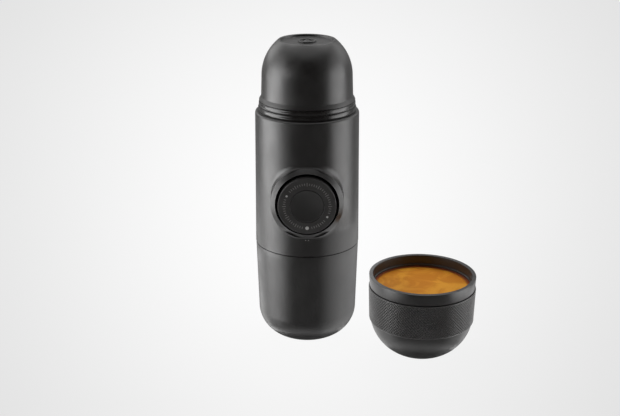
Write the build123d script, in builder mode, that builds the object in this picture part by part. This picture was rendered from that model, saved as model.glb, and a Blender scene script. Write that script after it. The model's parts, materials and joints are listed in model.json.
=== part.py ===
"""Handheld manual espresso maker: water tank below, hand pump in the middle, brewing end on top.

Millimetres, +Z up. The origin is the centre of the tank's foot, and the pump knob faces -Y.
The cup stands by itself at the machine's right.
"""

import os
from math import acos, degrees, sin, sqrt

from build123d import *

# ---------------------------------------------------------------- driving dimensions

# Clearances
LIFT_GAP = 0.3  # between pieces that lift or slide apart
SEAT_GAP = 0.1  # between flat faces that close on each other
SHAFT_GAP = 0.05  # running clearance of rods, pistons and balls

# Water tank
TANK_HEIGHT = 57.3  # foot to shoulder
TANK_WALL = 2.2
TANK_FLOOR = 2.6
FOOT_RADIUS = 12.5
FOOT_EDGE_WIDTH = 1.7  # bevel round the foot
TANK_CORNER_WIDTH = 18.1  # half axes of the rounded bottom's ellipse
TANK_CORNER_HEIGHT = 17.8
TANK_DRAFT = 1.17  # how much narrower the tank is where the rounded bottom ends
TANK_STEP = 0.13  # how far the tank's edge stands inside the body's
NECK_HEIGHT = 7.5
NECK_WALL = 1.8
THREAD_DEPTH = 0.85
THREAD_WIDTH = 1.6  # at the root of the ridge
THREAD_CREST = 0.64
THREAD_SUNK = 0.28  # how deep the ridge is rooted in its spigot
THREAD_LEAD = 7.5  # rise of each start in one turn
THREAD_STARTS = 3
THREAD_ANGLE = 20.0  # where the first start begins
TANK_SEAL_RADIUS = 0.8  # section of the ring at the neck's root
EDGE_CHAMFER = 0.25

# Main body
SEAM = 0.2  # shadow line between tank and body
BODY_HEIGHT = 75.3
BODY_LOW_RADIUS = 29.0
BODY_DRAFT = 0.55  # how much narrower the body is at its top
BODY_WALL = 2.2  # at the top edge
LIP_HEIGHT = 1.3  # rounded upper edge of the body
LIP_WIDTH = 1.0

# Socket that the tank screws into
SOCKET_WALL = 1.6
SOCKET_SEAL_THICKNESS = 1.5
BULKHEAD_THICKNESS = 2.2
VENT_X = -11.0
VENT_Y = 2.0
VENT_STEM_RADIUS = 1.0
VENT_CAP_RADIUS = 3.4
VENT_CAP_THICKNESS = 0.8
VENT_BARB_RADIUS = 1.5
STRAINER_RADIUS = 4.6
STRAINER_LENGTH = 4.6
STRAINER_WALL = 0.7
STRAINER_SLOTS = 10
STRAINER_SLOT_WIDTH = 0.9
STRAINER_SLOT_DEPTH = 1.4  # inwards from the strainer's side

# Boss, knob and pump, along the pump's axis, outwards from the body's axis
BOSS_RADIUS = 19.7
BOSS_DRAFT = 0.5  # how much wider the boss is at its root
BOSS_PROUD = 2.55  # past the body's front
BOSS_BLEND = 1.6
BOSS_BEVEL = 1.5  # along its axis
BOSS_BEVEL_WIDTH = 2.2
BEZEL_WALL = 0.65
BEZEL_DEPTH = 4.4
BEZEL_SUNK = 2.0  # below the boss's mouth
KNOB_RADIUS = 15.6
KNOB_GAP = 0.9
KNOB_PROUD = 2.7  # past the boss
KNOB_ROUNDING = 0.3
KNOB_WALL = 1.8
KNOB_FACE_THICKNESS = 4.2
KNOB_LENGTH = 18.0
DISC_RADIUS = 9.2
DISC_THICKNESS = 1.5
DISC_DISH = 0.8
STROKE = 12.0
SLEEVE_REACH = 4.0  # from the knob's skirt to the pump's flange
FLANGE_THICKNESS = 3.5
PUMP_BORE_RADIUS = 6.5
PUMP_WALL = 2.3
PUMP_BACK_WALL = 2.2
PISTON_LENGTH = 7.0
PISTON_CLEAR = 0.4  # between piston and gland at full stroke
SEAL_WIDTH = 3.0
SEAL_DEPTH = 1.2
ROD_RADIUS = 3.2
ROD_SHOULDER_RADIUS = 5.0
ROD_SHOULDER_LENGTH = 1.6
HUB_WALL = 2.6
HUB_LENGTH = 9.0
GLAND_RADIUS = 8.0
GLAND_LENGTH = 3.0
GLAND_PROUD = 0.6
KNOB_SCREW_HEAD_RADIUS = 4.5
KNOB_SCREW_HEAD_THICKNESS = 1.1
KNOB_SCREW_RADIUS = 1.3
KNOB_SCREW_LENGTH = 7.0
SPRING_RADIUS = 10.6
SPRING_WIRE = 0.6
SPRING_TURNS = 6
PUMP_SCREWS = 4
PUMP_SCREW_ANGLE = 45.0
PUMP_SCREW_RADIUS = 0.95
PUMP_SCREW_HEAD_RADIUS = 1.7
PUMP_SCREW_HEAD_HEIGHT = 1.2
PUMP_SCREW_LENGTH = 9.0
PUMP_EAR_RADIUS = 2.6
PUMP_EAR_LENGTH = 8.0

# One-way valves, alike at the pump's inlet and outlet
VALVE_BALL_RADIUS = 1.8
VALVE_BORE_RADIUS = 2.3
VALVE_STUB_WALL = 1.9
VALVE_SEAT_THICKNESS = 1.5
VALVE_PORT_RADIUS = 1.1
VALVE_LIFT = 0.8
VALVE_SPRING_PRESSED = 1.8  # length of the spring with the ball lifted
VALVE_SPRING_WIRE = 0.15
VALVE_SPRING_RADIUS = 1.35
VALVE_SPRING_TURNS = 3

# Brew head, shower and filter basket
BREW_DEPTH = 18.8  # brew head's underside below the body's top
BREW_FLOOR = 3.0
BREW_CHAMBER = 2.5
BREW_FLANGE = 3.0
SPIGOT_WALL = 1.4
SPIGOT_LEDGE = 2.2
BREW_SCREWS = 3
BREW_SCREW_ANGLE = 90.0
BREW_SCREW_RADIUS = 0.9
BREW_SCREW_HEAD_RADIUS = 1.5
BREW_SCREW_HEAD_HEIGHT = 1.2
BREW_SCREW_LENGTH = 9.0
BREW_POST_RADIUS = 1.7
SCREEN_THICKNESS = 0.6
SCREEN_HOLE_RADIUS = 0.55
SCREEN_HOLE_PITCH = 2.75
SHOWER_SCREW_RADIUS = 1.4
SHOWER_SCREW_HEAD_RADIUS = 2.7
SHOWER_SCREW_HEAD_HEIGHT = 1.1
SHOWER_SCREW_LENGTH = 4.0
SHOWER_POST_RADIUS = 3.0
GASKET_THICKNESS = 1.8
GASKET_WIDTH = 2.4
BASKET_DEPTH = 22.0
BASKET_WALL = 0.5
BASKET_RIM = 1.4
BASKET_HOLE_RADIUS = 0.45
BASKET_HOLE_PITCH = 2.25
TUBE_RADIUS = 3.2
TUBE_BORE_RADIUS = 1.2

# Neck collar and outlet head
COLLAR_HEIGHT = 5.8
COLLAR_INSET = 0.65  # from the body's top edge to the lower bead's crest
COLLAR_STEP = 0.4  # from the lower bead's crest to the upper bead's
COLLAR_GROOVE = 0.35  # depth of the grooves beside the beads
COLLAR_FOOT = 0.3
HEAD_WALL = 1.9
HEAD_INSET = 0.1  # from the upper bead's crest to the head's flared edge
HEAD_FLARE_WIDTH = 1.25
HEAD_FLARE_HEIGHT = 2.3
HEAD_DRAFT = 0.35  # how much narrower the head is where its dome begins
HEAD_SPARE = 3.0  # straight side above the nozzle's flange
HEAD_DOME_HEIGHT = 19.4
HEAD_RIM_RADIUS = 15.5  # outer edge of the dome's flat top
HEAD_RIM_WIDTH = 1.1
HEAD_RECESS_DEPTH = 1.2
HEAD_RECESS_SLOPE = 0.3
HEAD_DECK = 1.9
HEAD_SEAL_THICKNESS = 2.5
HEAD_SEAL_WIDTH = 2.6
NOZZLE_FLANGE = 2.0
NOZZLE_FUNNEL_DEPTH = 1.2
NOZZLE_RADIUS = 5.0
NOZZLE_WALL = 1.7
NOZZLE_PROUD = 0.8  # above the head's deck
NOZZLE_RIM_WIDTH = 0.9
NOZZLE_WELL = 0.7  # depth of the dish round the spout's tip
NOZZLE_TIP_RADIUS = 1.9
NOZZLE_TIP_TOP_RADIUS = 1.0
NOZZLE_TIP_HEIGHT = 0.9
NOZZLE_BORE_RADIUS = 0.5

# Cup
CUP_X = 63.7
CUP_Y = -24.5
CUP_HEIGHT = 45.8
CUP_WALL = 1.8
CUP_GAP = 0.45  # between the cup's mouth and the collar it clicks on to
CUP_FOOT_RADIUS = 12.5
CUP_FOOT_EDGE = 0.7  # rise of the bevel round the foot
CUP_FOOT_EDGE_WIDTH = 1.75
CUP_BOWL_HEIGHT = 19.4
CUP_BOWL_BULGE = 2.9  # how far the bowl's side stands out from a straight line
GRIP_PROUD = 0.55  # past the rim above it
GRIP_DRAFT = 0.6  # how much narrower the band is at its lower edge
GRIP_STEP = 0.65  # from the bowl's edge out to the band
GRIP_HEIGHT = 19.5
GRIP_THICKNESS = 1.1
GRIP_BEVEL = 0.45
RIM_GROOVE = 0.4
RIM_DRAFT = 0.4  # how much wider the rim is at its top
LEDGE_DEPTH = 5.2  # below the rim, where the bore for the collar ends
LEDGE_WIDTH = 0.6
CUP_FLOOR = 2.4
LUG_COUNT = 2
LUG_ANGLE = 12.0
LUG_HEIGHT = 1.4
LUG_DEPTH = 0.5
LUG_DROP = 2.0

# ---------------------------------------------------------------- sizes worked out from them

neck_top = TANK_HEIGHT + NECK_HEIGHT
body_z = TANK_HEIGHT + SEAM
body_top = body_z + BODY_HEIGHT
body_top_radius = BODY_LOW_RADIUS - BODY_DRAFT
bore_radius = body_top_radius - BODY_WALL
tank_top_radius = BODY_LOW_RADIUS - TANK_STEP
tank_low_radius = tank_top_radius - TANK_DRAFT
corner_centre = tank_low_radius - TANK_CORNER_WIDTH
corner_start = acos((FOOT_RADIUS + FOOT_EDGE_WIDTH - corner_centre) / TANK_CORNER_WIDTH)
foot_edge_z = TANK_CORNER_HEIGHT * (1 - sin(corner_start))

socket_radius = bore_radius - SOCKET_WALL
neck_radius = socket_radius - LIFT_GAP - THREAD_DEPTH
neck_bore = neck_radius - NECK_WALL
socket_seal_z = neck_top + SEAT_GAP
bulkhead_z = socket_seal_z + SOCKET_SEAL_THICKNESS
bulkhead_top = bulkhead_z + BULKHEAD_THICKNESS

pump_z = bulkhead_top + BOSS_RADIUS + LIFT_GAP
body_taper = BODY_DRAFT / (BODY_HEIGHT - LIP_HEIGHT)
body_front = BODY_LOW_RADIUS - body_taper * (pump_z - body_z)
boss_root_radius = BOSS_RADIUS + BOSS_DRAFT
boss_root = sqrt(body_front**2 - boss_root_radius**2) - BODY_WALL / 2
boss_front = body_front + BOSS_PROUD
knob_bore = KNOB_RADIUS + KNOB_GAP
knob_face = boss_front + KNOB_PROUD
knob_back = knob_face - KNOB_LENGTH
flange_front = knob_back - SLEEVE_REACH
flange_back = flange_front - FLANGE_THICKNESS
gland_back = flange_front + GLAND_PROUD - GLAND_LENGTH
piston_front = gland_back - PISTON_CLEAR - STROKE
piston_back = piston_front - PISTON_LENGTH
stub_radius = VALVE_BORE_RADIUS + VALVE_STUB_WALL
valve_y = VALVE_PORT_RADIUS - piston_back + LIFT_GAP
pump_end = -(valve_y + VALVE_PORT_RADIUS + LIFT_GAP)
pump_radius = PUMP_BORE_RADIUS + PUMP_WALL
knob_inside = knob_face - KNOB_FACE_THICKNESS
hub_bore = ROD_RADIUS + SHAFT_GAP
disc_back = knob_face - DISC_THICKNESS - SEAT_GAP
rod_end = disc_back - SEAT_GAP - KNOB_SCREW_HEAD_THICKNESS

ball_above_seat = sqrt(VALVE_BALL_RADIUS**2 - VALVE_PORT_RADIUS**2) + SHAFT_GAP
valve_chamber = (
    VALVE_SEAT_THICKNESS + ball_above_seat + VALVE_BALL_RADIUS + VALVE_LIFT + VALVE_SPRING_PRESSED
)
inlet_z = bulkhead_top
outlet_z = pump_z + PUMP_BORE_RADIUS + PUMP_WALL

brew_z = body_top - BREW_DEPTH
ledge_z = brew_z + BREW_FLOOR + BREW_CHAMBER
gasket_z = ledge_z + SCREEN_THICKNESS
basket_z = gasket_z + GASKET_THICKNESS + SEAT_GAP
basket_top = basket_z + BASKET_DEPTH + BASKET_WALL
head_seal_z = basket_top + SEAT_GAP
nozzle_z = head_seal_z + HEAD_SEAL_THICKNESS
spigot_top = nozzle_z - LIFT_GAP
collar_top = body_top + COLLAR_HEIGHT
collar_low_radius = body_top_radius - LIP_WIDTH - COLLAR_INSET
collar_top_radius = collar_low_radius - COLLAR_STEP
head_z = collar_top + LIFT_GAP
nozzle_top = nozzle_z + NOZZLE_FLANGE
shoulder_z = nozzle_top + HEAD_SPARE
head_top = shoulder_z + HEAD_DOME_HEIGHT
head_flare_radius = collar_top_radius - HEAD_INSET
head_radius = head_flare_radius - HEAD_FLARE_WIDTH
head_shoulder_radius = head_radius - HEAD_DRAFT
head_bore = head_radius - HEAD_WALL
thread_crest = head_bore - LIFT_GAP
spigot_radius = thread_crest - THREAD_DEPTH
spigot_bore = spigot_radius - SPIGOT_WALL
basket_rim_radius = spigot_bore - LIFT_GAP
basket_radius = basket_rim_radius - BASKET_RIM
dome_narrowing = head_shoulder_radius - HEAD_RIM_RADIUS
dome_radius = (dome_narrowing**2 + HEAD_DOME_HEIGHT**2) / (2 * dome_narrowing)
dome_centre = head_shoulder_radius - dome_radius
deck_z = head_top - HEAD_RECESS_DEPTH
roof_z = deck_z - HEAD_DECK
posts = ((spigot_radius + bore_radius) / 2, BREW_SCREWS, BREW_SCREW_ANGLE)
ears = (BOSS_RADIUS + LIFT_GAP, PUMP_SCREWS, PUMP_SCREW_ANGLE)
collar_seat = Plane.XY.offset(body_top)

cup_bore = collar_low_radius + CUP_GAP
rim_base_radius = cup_bore + CUP_WALL
rim_radius = rim_base_radius + RIM_DRAFT
grip_top_radius = rim_base_radius + GRIP_PROUD
grip_low_radius = grip_top_radius - GRIP_DRAFT
bowl_radius = grip_low_radius - GRIP_STEP
grip_z = CUP_BOWL_HEIGHT
grip_top = grip_z + GRIP_HEIGHT
groove_top = grip_top + RIM_GROOVE
cup_core = grip_low_radius - GRIP_THICKNESS

# Radial half-planes to turn outlines in: (radius, height) for the machine and the cup,
# (distance out along the pump's axis, radius) for the pump.
MACHINE = Plane.XZ
CUP = Plane(origin=(CUP_X, CUP_Y, 0), x_dir=(1, 0, 0), z_dir=(0, -1, 0))
CUP_AXIS = Axis((CUP_X, CUP_Y, 0), (0, 0, 1))
PUMP = Plane(origin=(0, 0, pump_z), x_dir=(0, -1, 0), z_dir=(-1, 0, 0))
PUMP_AXIS = Axis((0, 0, pump_z), (0, -1, 0))


def across(distance):
    """The plane square to the pump's axis, this far out from the body's axis, facing out."""
    return Plane(origin=(0, -distance, pump_z), x_dir=(1, 0, 0), z_dir=(0, -1, 0))


def turn(points, plane=MACHINE, axis=Axis.Z, mode=Mode.ADD):
    """Turn a closed outline of straight runs about an axis, into the open part."""
    with BuildSketch(plane) as outline:
        with BuildLine():
            Polyline(*points, close=True)
        make_face()
    revolve(outline.sketch, axis=axis, mode=mode)


def tube(low, high, outer, inner=0.0, x=0.0, y=0.0, mode=Mode.ADD):
    """An upright cylinder or pipe between two heights, into the open part."""
    with BuildSketch(Plane.XY.offset(low)) as ring:
        with Locations((x, y)):
            Circle(outer)
            if inner:
                Circle(inner, mode=Mode.SUBTRACT)
    extrude(ring.sketch, amount=high - low, mode=mode)


def barrel(back, front, outer, inner=0.0, mode=Mode.ADD):
    """A cylinder or pipe along the pump's axis, into the open part."""
    with BuildSketch(across(back)) as ring:
        Circle(outer)
        if inner:
            Circle(inner, mode=Mode.SUBTRACT)
    extrude(ring.sketch, amount=front - back, mode=mode)


def round_ring(plane, ring, count, start, radius, amount, mode=Mode.ADD):
    """Equal round pins or holes spaced evenly on a ring, into the open part."""
    with BuildSketch(plane) as spots:
        with PolarLocations(ring, count, start_angle=start):
            Circle(radius)
    extrude(spots.sketch, amount=amount, mode=mode)


def screw_thread(core, low, high):
    """The helical ridges of a thread of several starts round a spigot, into the open part."""
    root = THREAD_WIDTH / 2
    crest = THREAD_CREST / 2
    rise = high - low - 2 * THREAD_WIDTH
    with BuildLine() as path:
        Helix(THREAD_LEAD, rise, core, center=(0, 0, low + THREAD_WIDTH))
    with BuildSketch(Plane(origin=path.line @ 0, x_dir=(1, 0, 0), z_dir=path.line % 0)) as tooth:
        Polygon(
            (-THREAD_SUNK, -root),
            (0, -root),
            (THREAD_DEPTH, -crest),
            (THREAD_DEPTH, crest),
            (0, root),
            (-THREAD_SUNK, root),
            align=None,
        )
    ridge = sweep(tooth.sketch, path=path.line, is_frenet=True, mode=Mode.PRIVATE)
    with PolarLocations(0, THREAD_STARTS, start_angle=THREAD_ANGLE):
        add(ridge)


def coil(radius, wire, length, turns, place):
    """A coil spring as one swept wire, its ends at the two ends of its length."""
    with BuildPart() as spring:
        with BuildLine() as path:
            Helix((length - 2 * wire) / turns, length - 2 * wire, radius, center=(0, 0, wire))
        with BuildSketch(Plane(origin=path.line @ 0, z_dir=path.line % 0)) as section:
            Circle(wire)
        sweep(section.sketch, path=path.line, is_frenet=True)
    return place * spring.part


def rings_of_holes(radius, hole, pitch, low, high, first=1):
    """Rings of round holes, six more in each, cut through a plate of the open part."""
    with BuildSketch(Plane.XY.offset(low)) as holes:
        for ring in range(first, int(radius / pitch) + 1):
            with PolarLocations(ring * pitch, 6 * ring):
                Circle(hole)
    extrude(holes.sketch, amount=high - low, mode=Mode.SUBTRACT)


pieces = {}

# ---------------------------------------------------------------- water tank

# A straight-sided cup with an elliptical bottom, a flat foot and a narrower threaded neck.
with BuildPart() as tank_shell:
    with BuildSketch(MACHINE):
        with BuildLine():
            Polyline((0, 0), (FOOT_RADIUS, 0), (FOOT_RADIUS + FOOT_EDGE_WIDTH, foot_edge_z))
            EllipticalCenterArc(
                (corner_centre, TANK_CORNER_HEIGHT),
                TANK_CORNER_WIDTH,
                TANK_CORNER_HEIGHT,
                start_angle=-degrees(corner_start),
                arc_size=degrees(corner_start),
            )
            Polyline(
                (tank_low_radius, TANK_CORNER_HEIGHT),
                (tank_top_radius, TANK_HEIGHT - EDGE_CHAMFER),
                (tank_top_radius - EDGE_CHAMFER, TANK_HEIGHT),
                (neck_radius, TANK_HEIGHT),
                (neck_radius, neck_top),
                (0, neck_top),
                (0, 0),
            )
        make_face()
    revolve(axis=Axis.Z)
    with BuildSketch(MACHINE):
        with BuildLine():
            Line((0, TANK_FLOOR), (corner_centre, TANK_FLOOR))
            EllipticalCenterArc(
                (corner_centre, TANK_CORNER_HEIGHT),
                TANK_CORNER_WIDTH - TANK_WALL,
                TANK_CORNER_HEIGHT - TANK_FLOOR,
                start_angle=270,
                arc_size=90,
            )
            shoulder_inside = TANK_HEIGHT - TANK_WALL
            slope_start = shoulder_inside - (tank_top_radius - TANK_WALL - neck_bore)
            Polyline(
                (tank_low_radius - TANK_WALL, TANK_CORNER_HEIGHT),
                (tank_top_radius - TANK_WALL, slope_start),
                (neck_bore, shoulder_inside),
                (neck_bore, neck_top),
                (0, neck_top),
                (0, TANK_FLOOR),
            )
        make_face()
    revolve(axis=Axis.Z, mode=Mode.SUBTRACT)
    screw_thread(neck_radius, TANK_HEIGHT + 2 * TANK_SEAL_RADIUS, neck_top)
pieces["tank_shell"] = tank_shell

with BuildPart() as tank_seal:
    with BuildSketch(MACHINE):
        with Locations((neck_radius + TANK_SEAL_RADIUS, TANK_HEIGHT + TANK_SEAL_RADIUS)):
            Circle(TANK_SEAL_RADIUS)
    revolve(axis=Axis.Z)
pieces["tank_seal"] = tank_seal

# ---------------------------------------------------------------- body tube with its boss

with BuildPart() as body_shell:
    with BuildSketch(MACHINE):
        with BuildLine():
            Polyline(
                (0, body_top),
                (0, body_z),
                (BODY_LOW_RADIUS - EDGE_CHAMFER, body_z),
                (BODY_LOW_RADIUS, body_z + EDGE_CHAMFER),
                (body_top_radius, body_top - LIP_HEIGHT),
            )
            EllipticalCenterArc(
                (body_top_radius - LIP_WIDTH, body_top - LIP_HEIGHT),
                LIP_WIDTH,
                LIP_HEIGHT,
                start_angle=0,
                arc_size=90,
            )
            Line((body_top_radius - LIP_WIDTH, body_top), (0, body_top))
        make_face()
    revolve(axis=Axis.Z)
    # The boss, wider at its root, blended into the tube's side.
    turn(
        [
            (boss_root, 0),
            (boss_root, boss_root_radius),
            (boss_front - BOSS_BEVEL, BOSS_RADIUS),
            (boss_front, BOSS_RADIUS - BOSS_BEVEL_WIDTH),
            (boss_front, 0),
        ],
        PUMP,
        PUMP_AXIS,
    )
    fillet(body_shell.edges().filter_by(GeomType.BSPLINE), BOSS_BLEND)
    tube(body_z, body_top, bore_radius, mode=Mode.SUBTRACT)
    # Sleeve that the knob slides in, with four ears for the pump's screws.
    barrel(flange_front, body_front - BODY_WALL, BOSS_RADIUS)
    round_ring(across(flange_front), *ears, PUMP_EAR_RADIUS, PUMP_EAR_LENGTH)
    barrel(flange_front, boss_front, knob_bore, mode=Mode.SUBTRACT)
    barrel(boss_front - BEZEL_DEPTH, boss_front, knob_bore + BEZEL_WALL, mode=Mode.SUBTRACT)
    screw_grip = PUMP_SCREW_LENGTH - FLANGE_THICKNESS
    round_ring(across(flange_front), *ears, PUMP_SCREW_RADIUS, screw_grip, Mode.SUBTRACT)
    # Posts on the wall that the brew head is screwed down to.
    post_top = body_top - BREW_FLANGE
    post_low = post_top - BREW_SCREW_LENGTH
    with BuildSketch(Plane.XY.offset(post_low)):
        with PolarLocations(*posts):
            Circle(BREW_POST_RADIUS)
            with Locations((BREW_POST_RADIUS, 0)):
                Rectangle(2 * BREW_POST_RADIUS, 2 * BREW_POST_RADIUS)
        Circle(bore_radius + BODY_WALL / 2, mode=Mode.INTERSECT)
    extrude(amount=BREW_SCREW_LENGTH)
    round_ring(Plane.XY.offset(post_low), *posts, BREW_SCREW_RADIUS, BREW_SCREW_LENGTH, Mode.SUBTRACT)
pieces["body_shell"] = body_shell

with BuildPart() as knob_bezel:
    barrel(boss_front - BEZEL_DEPTH, boss_front - BEZEL_SUNK, knob_bore + BEZEL_WALL, knob_bore)
pieces["knob_bezel"] = knob_bezel

# ---------------------------------------------------------------- socket for the tank

socket_low = TANK_HEIGHT + 2 * TANK_SEAL_RADIUS + LIFT_GAP
with BuildPart() as tank_connector:
    tube(socket_low, bulkhead_top, bore_radius)
    tube(socket_low, bulkhead_z, socket_radius, mode=Mode.SUBTRACT)
    tube(bulkhead_z, bulkhead_top, VALVE_PORT_RADIUS, y=valve_y, mode=Mode.SUBTRACT)
    tube(bulkhead_z, bulkhead_top, VENT_STEM_RADIUS, x=VENT_X, y=VENT_Y, mode=Mode.SUBTRACT)
pieces["tank_connector"] = tank_connector

with BuildPart() as connector_seal:
    tube(socket_seal_z, bulkhead_z, socket_radius, neck_bore)
pieces["connector_seal"] = connector_seal

with BuildPart() as inlet_strainer:
    tube(bulkhead_z - STRAINER_LENGTH, bulkhead_z, STRAINER_RADIUS, y=valve_y)
    tube(
        bulkhead_z - STRAINER_LENGTH + STRAINER_WALL,
        bulkhead_z,
        STRAINER_RADIUS - STRAINER_WALL,
        y=valve_y,
        mode=Mode.SUBTRACT,
    )
    with BuildSketch(Plane.XY.offset(bulkhead_z - STRAINER_LENGTH + 2 * STRAINER_WALL)):
        with Locations((0, valve_y)):
            with PolarLocations(STRAINER_RADIUS, STRAINER_SLOTS):
                Rectangle(2 * STRAINER_SLOT_DEPTH, STRAINER_SLOT_WIDTH)
    extrude(amount=STRAINER_LENGTH - 3 * STRAINER_WALL, mode=Mode.SUBTRACT)
pieces["inlet_strainer"] = inlet_strainer

# Umbrella on the tank's side, stem through the bulkhead, barb above it.
with BuildPart() as vent_valve:
    tube(bulkhead_z - VENT_CAP_THICKNESS, bulkhead_z, VENT_CAP_RADIUS, x=VENT_X, y=VENT_Y)
    tube(bulkhead_z, bulkhead_top, VENT_STEM_RADIUS, x=VENT_X, y=VENT_Y)
    tube(bulkhead_top, bulkhead_top + VENT_STEM_RADIUS, VENT_BARB_RADIUS, x=VENT_X, y=VENT_Y)
pieces["vent_valve"] = vent_valve

# ---------------------------------------------------------------- pump

with BuildPart() as pump_cylinder:
    barrel(pump_end - PUMP_BACK_WALL, flange_front, pump_radius)
    barrel(flange_back, flange_front, BOSS_RADIUS)
    round_ring(across(flange_back), *ears, PUMP_EAR_RADIUS, FLANGE_THICKNESS)
    tube(inlet_z, pump_z, stub_radius, y=valve_y)
    tube(pump_z, outlet_z + valve_chamber, stub_radius, y=valve_y)
    barrel(pump_end, gland_back, PUMP_BORE_RADIUS, mode=Mode.SUBTRACT)
    barrel(gland_back, flange_front, GLAND_RADIUS, mode=Mode.SUBTRACT)
    tube(inlet_z, outlet_z, VALVE_PORT_RADIUS, y=valve_y, mode=Mode.SUBTRACT)
    tube(inlet_z, inlet_z + valve_chamber, VALVE_BORE_RADIUS, y=valve_y, mode=Mode.SUBTRACT)
    tube(outlet_z, outlet_z + valve_chamber, VALVE_BORE_RADIUS, y=valve_y, mode=Mode.SUBTRACT)
    round_ring(across(flange_back), *ears, PUMP_SCREW_RADIUS, FLANGE_THICKNESS, Mode.SUBTRACT)
pieces["pump_cylinder"] = pump_cylinder

with BuildPart() as pump_screws:
    round_ring(across(flange_back), *ears, PUMP_SCREW_RADIUS, PUMP_SCREW_LENGTH)
    round_ring(across(flange_back), *ears, PUMP_SCREW_HEAD_RADIUS, -PUMP_SCREW_HEAD_HEIGHT)
pieces["pump_screws"] = pump_screws

with BuildPart() as cylinder_gland:
    barrel(gland_back, gland_back + GLAND_LENGTH, GLAND_RADIUS, hub_bore)
pieces["cylinder_gland"] = cylinder_gland

with BuildPart() as piston_rod:
    seal_low = piston_back + (PISTON_LENGTH - SEAL_WIDTH) / 2
    piston_radius = PUMP_BORE_RADIUS - 2 * SHAFT_GAP
    shoulder_front = knob_inside - HUB_LENGTH + KNOB_FACE_THICKNESS - SEAT_GAP
    turn(
        [
            (piston_back, 0),
            (piston_back, piston_radius),
            (seal_low, piston_radius),
            (seal_low, piston_radius - SEAL_DEPTH),
            (seal_low + SEAL_WIDTH, piston_radius - SEAL_DEPTH),
            (seal_low + SEAL_WIDTH, piston_radius),
            (piston_front, piston_radius),
            (piston_front, ROD_RADIUS),
            (shoulder_front - ROD_SHOULDER_LENGTH, ROD_RADIUS),
            (shoulder_front - ROD_SHOULDER_LENGTH, ROD_SHOULDER_RADIUS),
            (shoulder_front, ROD_SHOULDER_RADIUS),
            (shoulder_front, ROD_RADIUS),
            (rod_end, ROD_RADIUS),
            (rod_end, 0),
        ],
        PUMP,
        PUMP_AXIS,
    )
    barrel(rod_end - KNOB_SCREW_LENGTH, rod_end, KNOB_SCREW_RADIUS, mode=Mode.SUBTRACT)
pieces["piston_rod"] = piston_rod

with BuildPart() as piston_seal:
    barrel(seal_low, seal_low + SEAL_WIDTH, PUMP_BORE_RADIUS - SHAFT_GAP, piston_radius - SEAL_DEPTH)
pieces["piston_seal"] = piston_seal

with BuildPart() as knob_screw:
    barrel(rod_end - KNOB_SCREW_LENGTH, rod_end, KNOB_SCREW_RADIUS)
    barrel(rod_end, rod_end + KNOB_SCREW_HEAD_THICKNESS, KNOB_SCREW_HEAD_RADIUS)
pieces["knob_screw"] = knob_screw

# The knob is a deep cap: face, skirt and a hub that turns on the rod.
with BuildPart() as pump_knob:
    with BuildSketch(PUMP):
        with BuildLine():
            Polyline(
                (knob_back, 0),
                (knob_back, KNOB_RADIUS),
                (knob_face - KNOB_ROUNDING, KNOB_RADIUS),
            )
            EllipticalCenterArc(
                (knob_face - KNOB_ROUNDING, KNOB_RADIUS - KNOB_ROUNDING),
                KNOB_ROUNDING,
                KNOB_ROUNDING,
                start_angle=0,
                arc_size=90,
            )
            Polyline((knob_face, KNOB_RADIUS - KNOB_ROUNDING), (knob_face, 0), (knob_back, 0))
        make_face()
    revolve(axis=PUMP_AXIS)
    barrel(knob_back, knob_inside, KNOB_RADIUS - KNOB_WALL, mode=Mode.SUBTRACT)
    barrel(shoulder_front + SEAT_GAP, knob_inside, hub_bore + HUB_WALL)
    barrel(knob_back, rod_end - SEAT_GAP, hub_bore, mode=Mode.SUBTRACT)
    barrel(rod_end - SEAT_GAP, disc_back, KNOB_SCREW_HEAD_RADIUS + LIFT_GAP, mode=Mode.SUBTRACT)
    barrel(disc_back, knob_face, DISC_RADIUS, mode=Mode.SUBTRACT)
pieces["pump_knob"] = pump_knob

# A round disc with a shallow dish for the thumb.
with BuildPart() as knob_disc:
    with BuildSketch(PUMP):
        with BuildLine():
            disc_front = knob_face - SEAT_GAP
            Polyline(
                (disc_front - DISC_DISH, 0),
                (disc_back, 0),
                (disc_back, DISC_RADIUS),
                (disc_front, DISC_RADIUS),
            )
            dish_radius = (DISC_RADIUS**2 + DISC_DISH**2) / (2 * DISC_DISH)
            half_way = DISC_RADIUS / 2
            sag = dish_radius - sqrt(dish_radius**2 - half_way**2)
            dish_bottom = disc_front - DISC_DISH
            ThreePointArc((disc_front, DISC_RADIUS), (dish_bottom + sag, half_way), (dish_bottom, 0))
        make_face()
    revolve(axis=PUMP_AXIS)
pieces["knob_disc"] = knob_disc

pump_spring = coil(
    SPRING_RADIUS,
    SPRING_WIRE,
    knob_inside - flange_front - SEAT_GAP,
    SPRING_TURNS,
    Location(across(flange_front)),
)
pieces["pump_spring"] = pump_spring


def valve(name, base):
    """The seat, ball and spring of a one-way valve whose seat lies at this height."""
    seat_top = base + VALVE_SEAT_THICKNESS
    ball_z = seat_top + ball_above_seat
    with BuildPart() as seat:
        tube(base, seat_top, VALVE_BORE_RADIUS, VALVE_PORT_RADIUS, y=valve_y)
    with BuildPart() as ball:
        with Locations((0, valve_y, ball_z)):
            Sphere(VALVE_BALL_RADIUS)
    spring_low = ball_z + sqrt(VALVE_BALL_RADIUS**2 - (VALVE_SPRING_RADIUS - VALVE_SPRING_WIRE) ** 2)
    spring = coil(
        VALVE_SPRING_RADIUS,
        VALVE_SPRING_WIRE,
        base + valve_chamber - spring_low,
        VALVE_SPRING_TURNS,
        Location((0, valve_y, spring_low)),
    )
    pieces[f"{name}_valve_seat"] = seat
    pieces[f"{name}_valve_ball"] = ball
    pieces[f"{name}_valve_spring"] = spring


valve("inlet", inlet_z)
valve("outlet", outlet_z)

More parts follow.
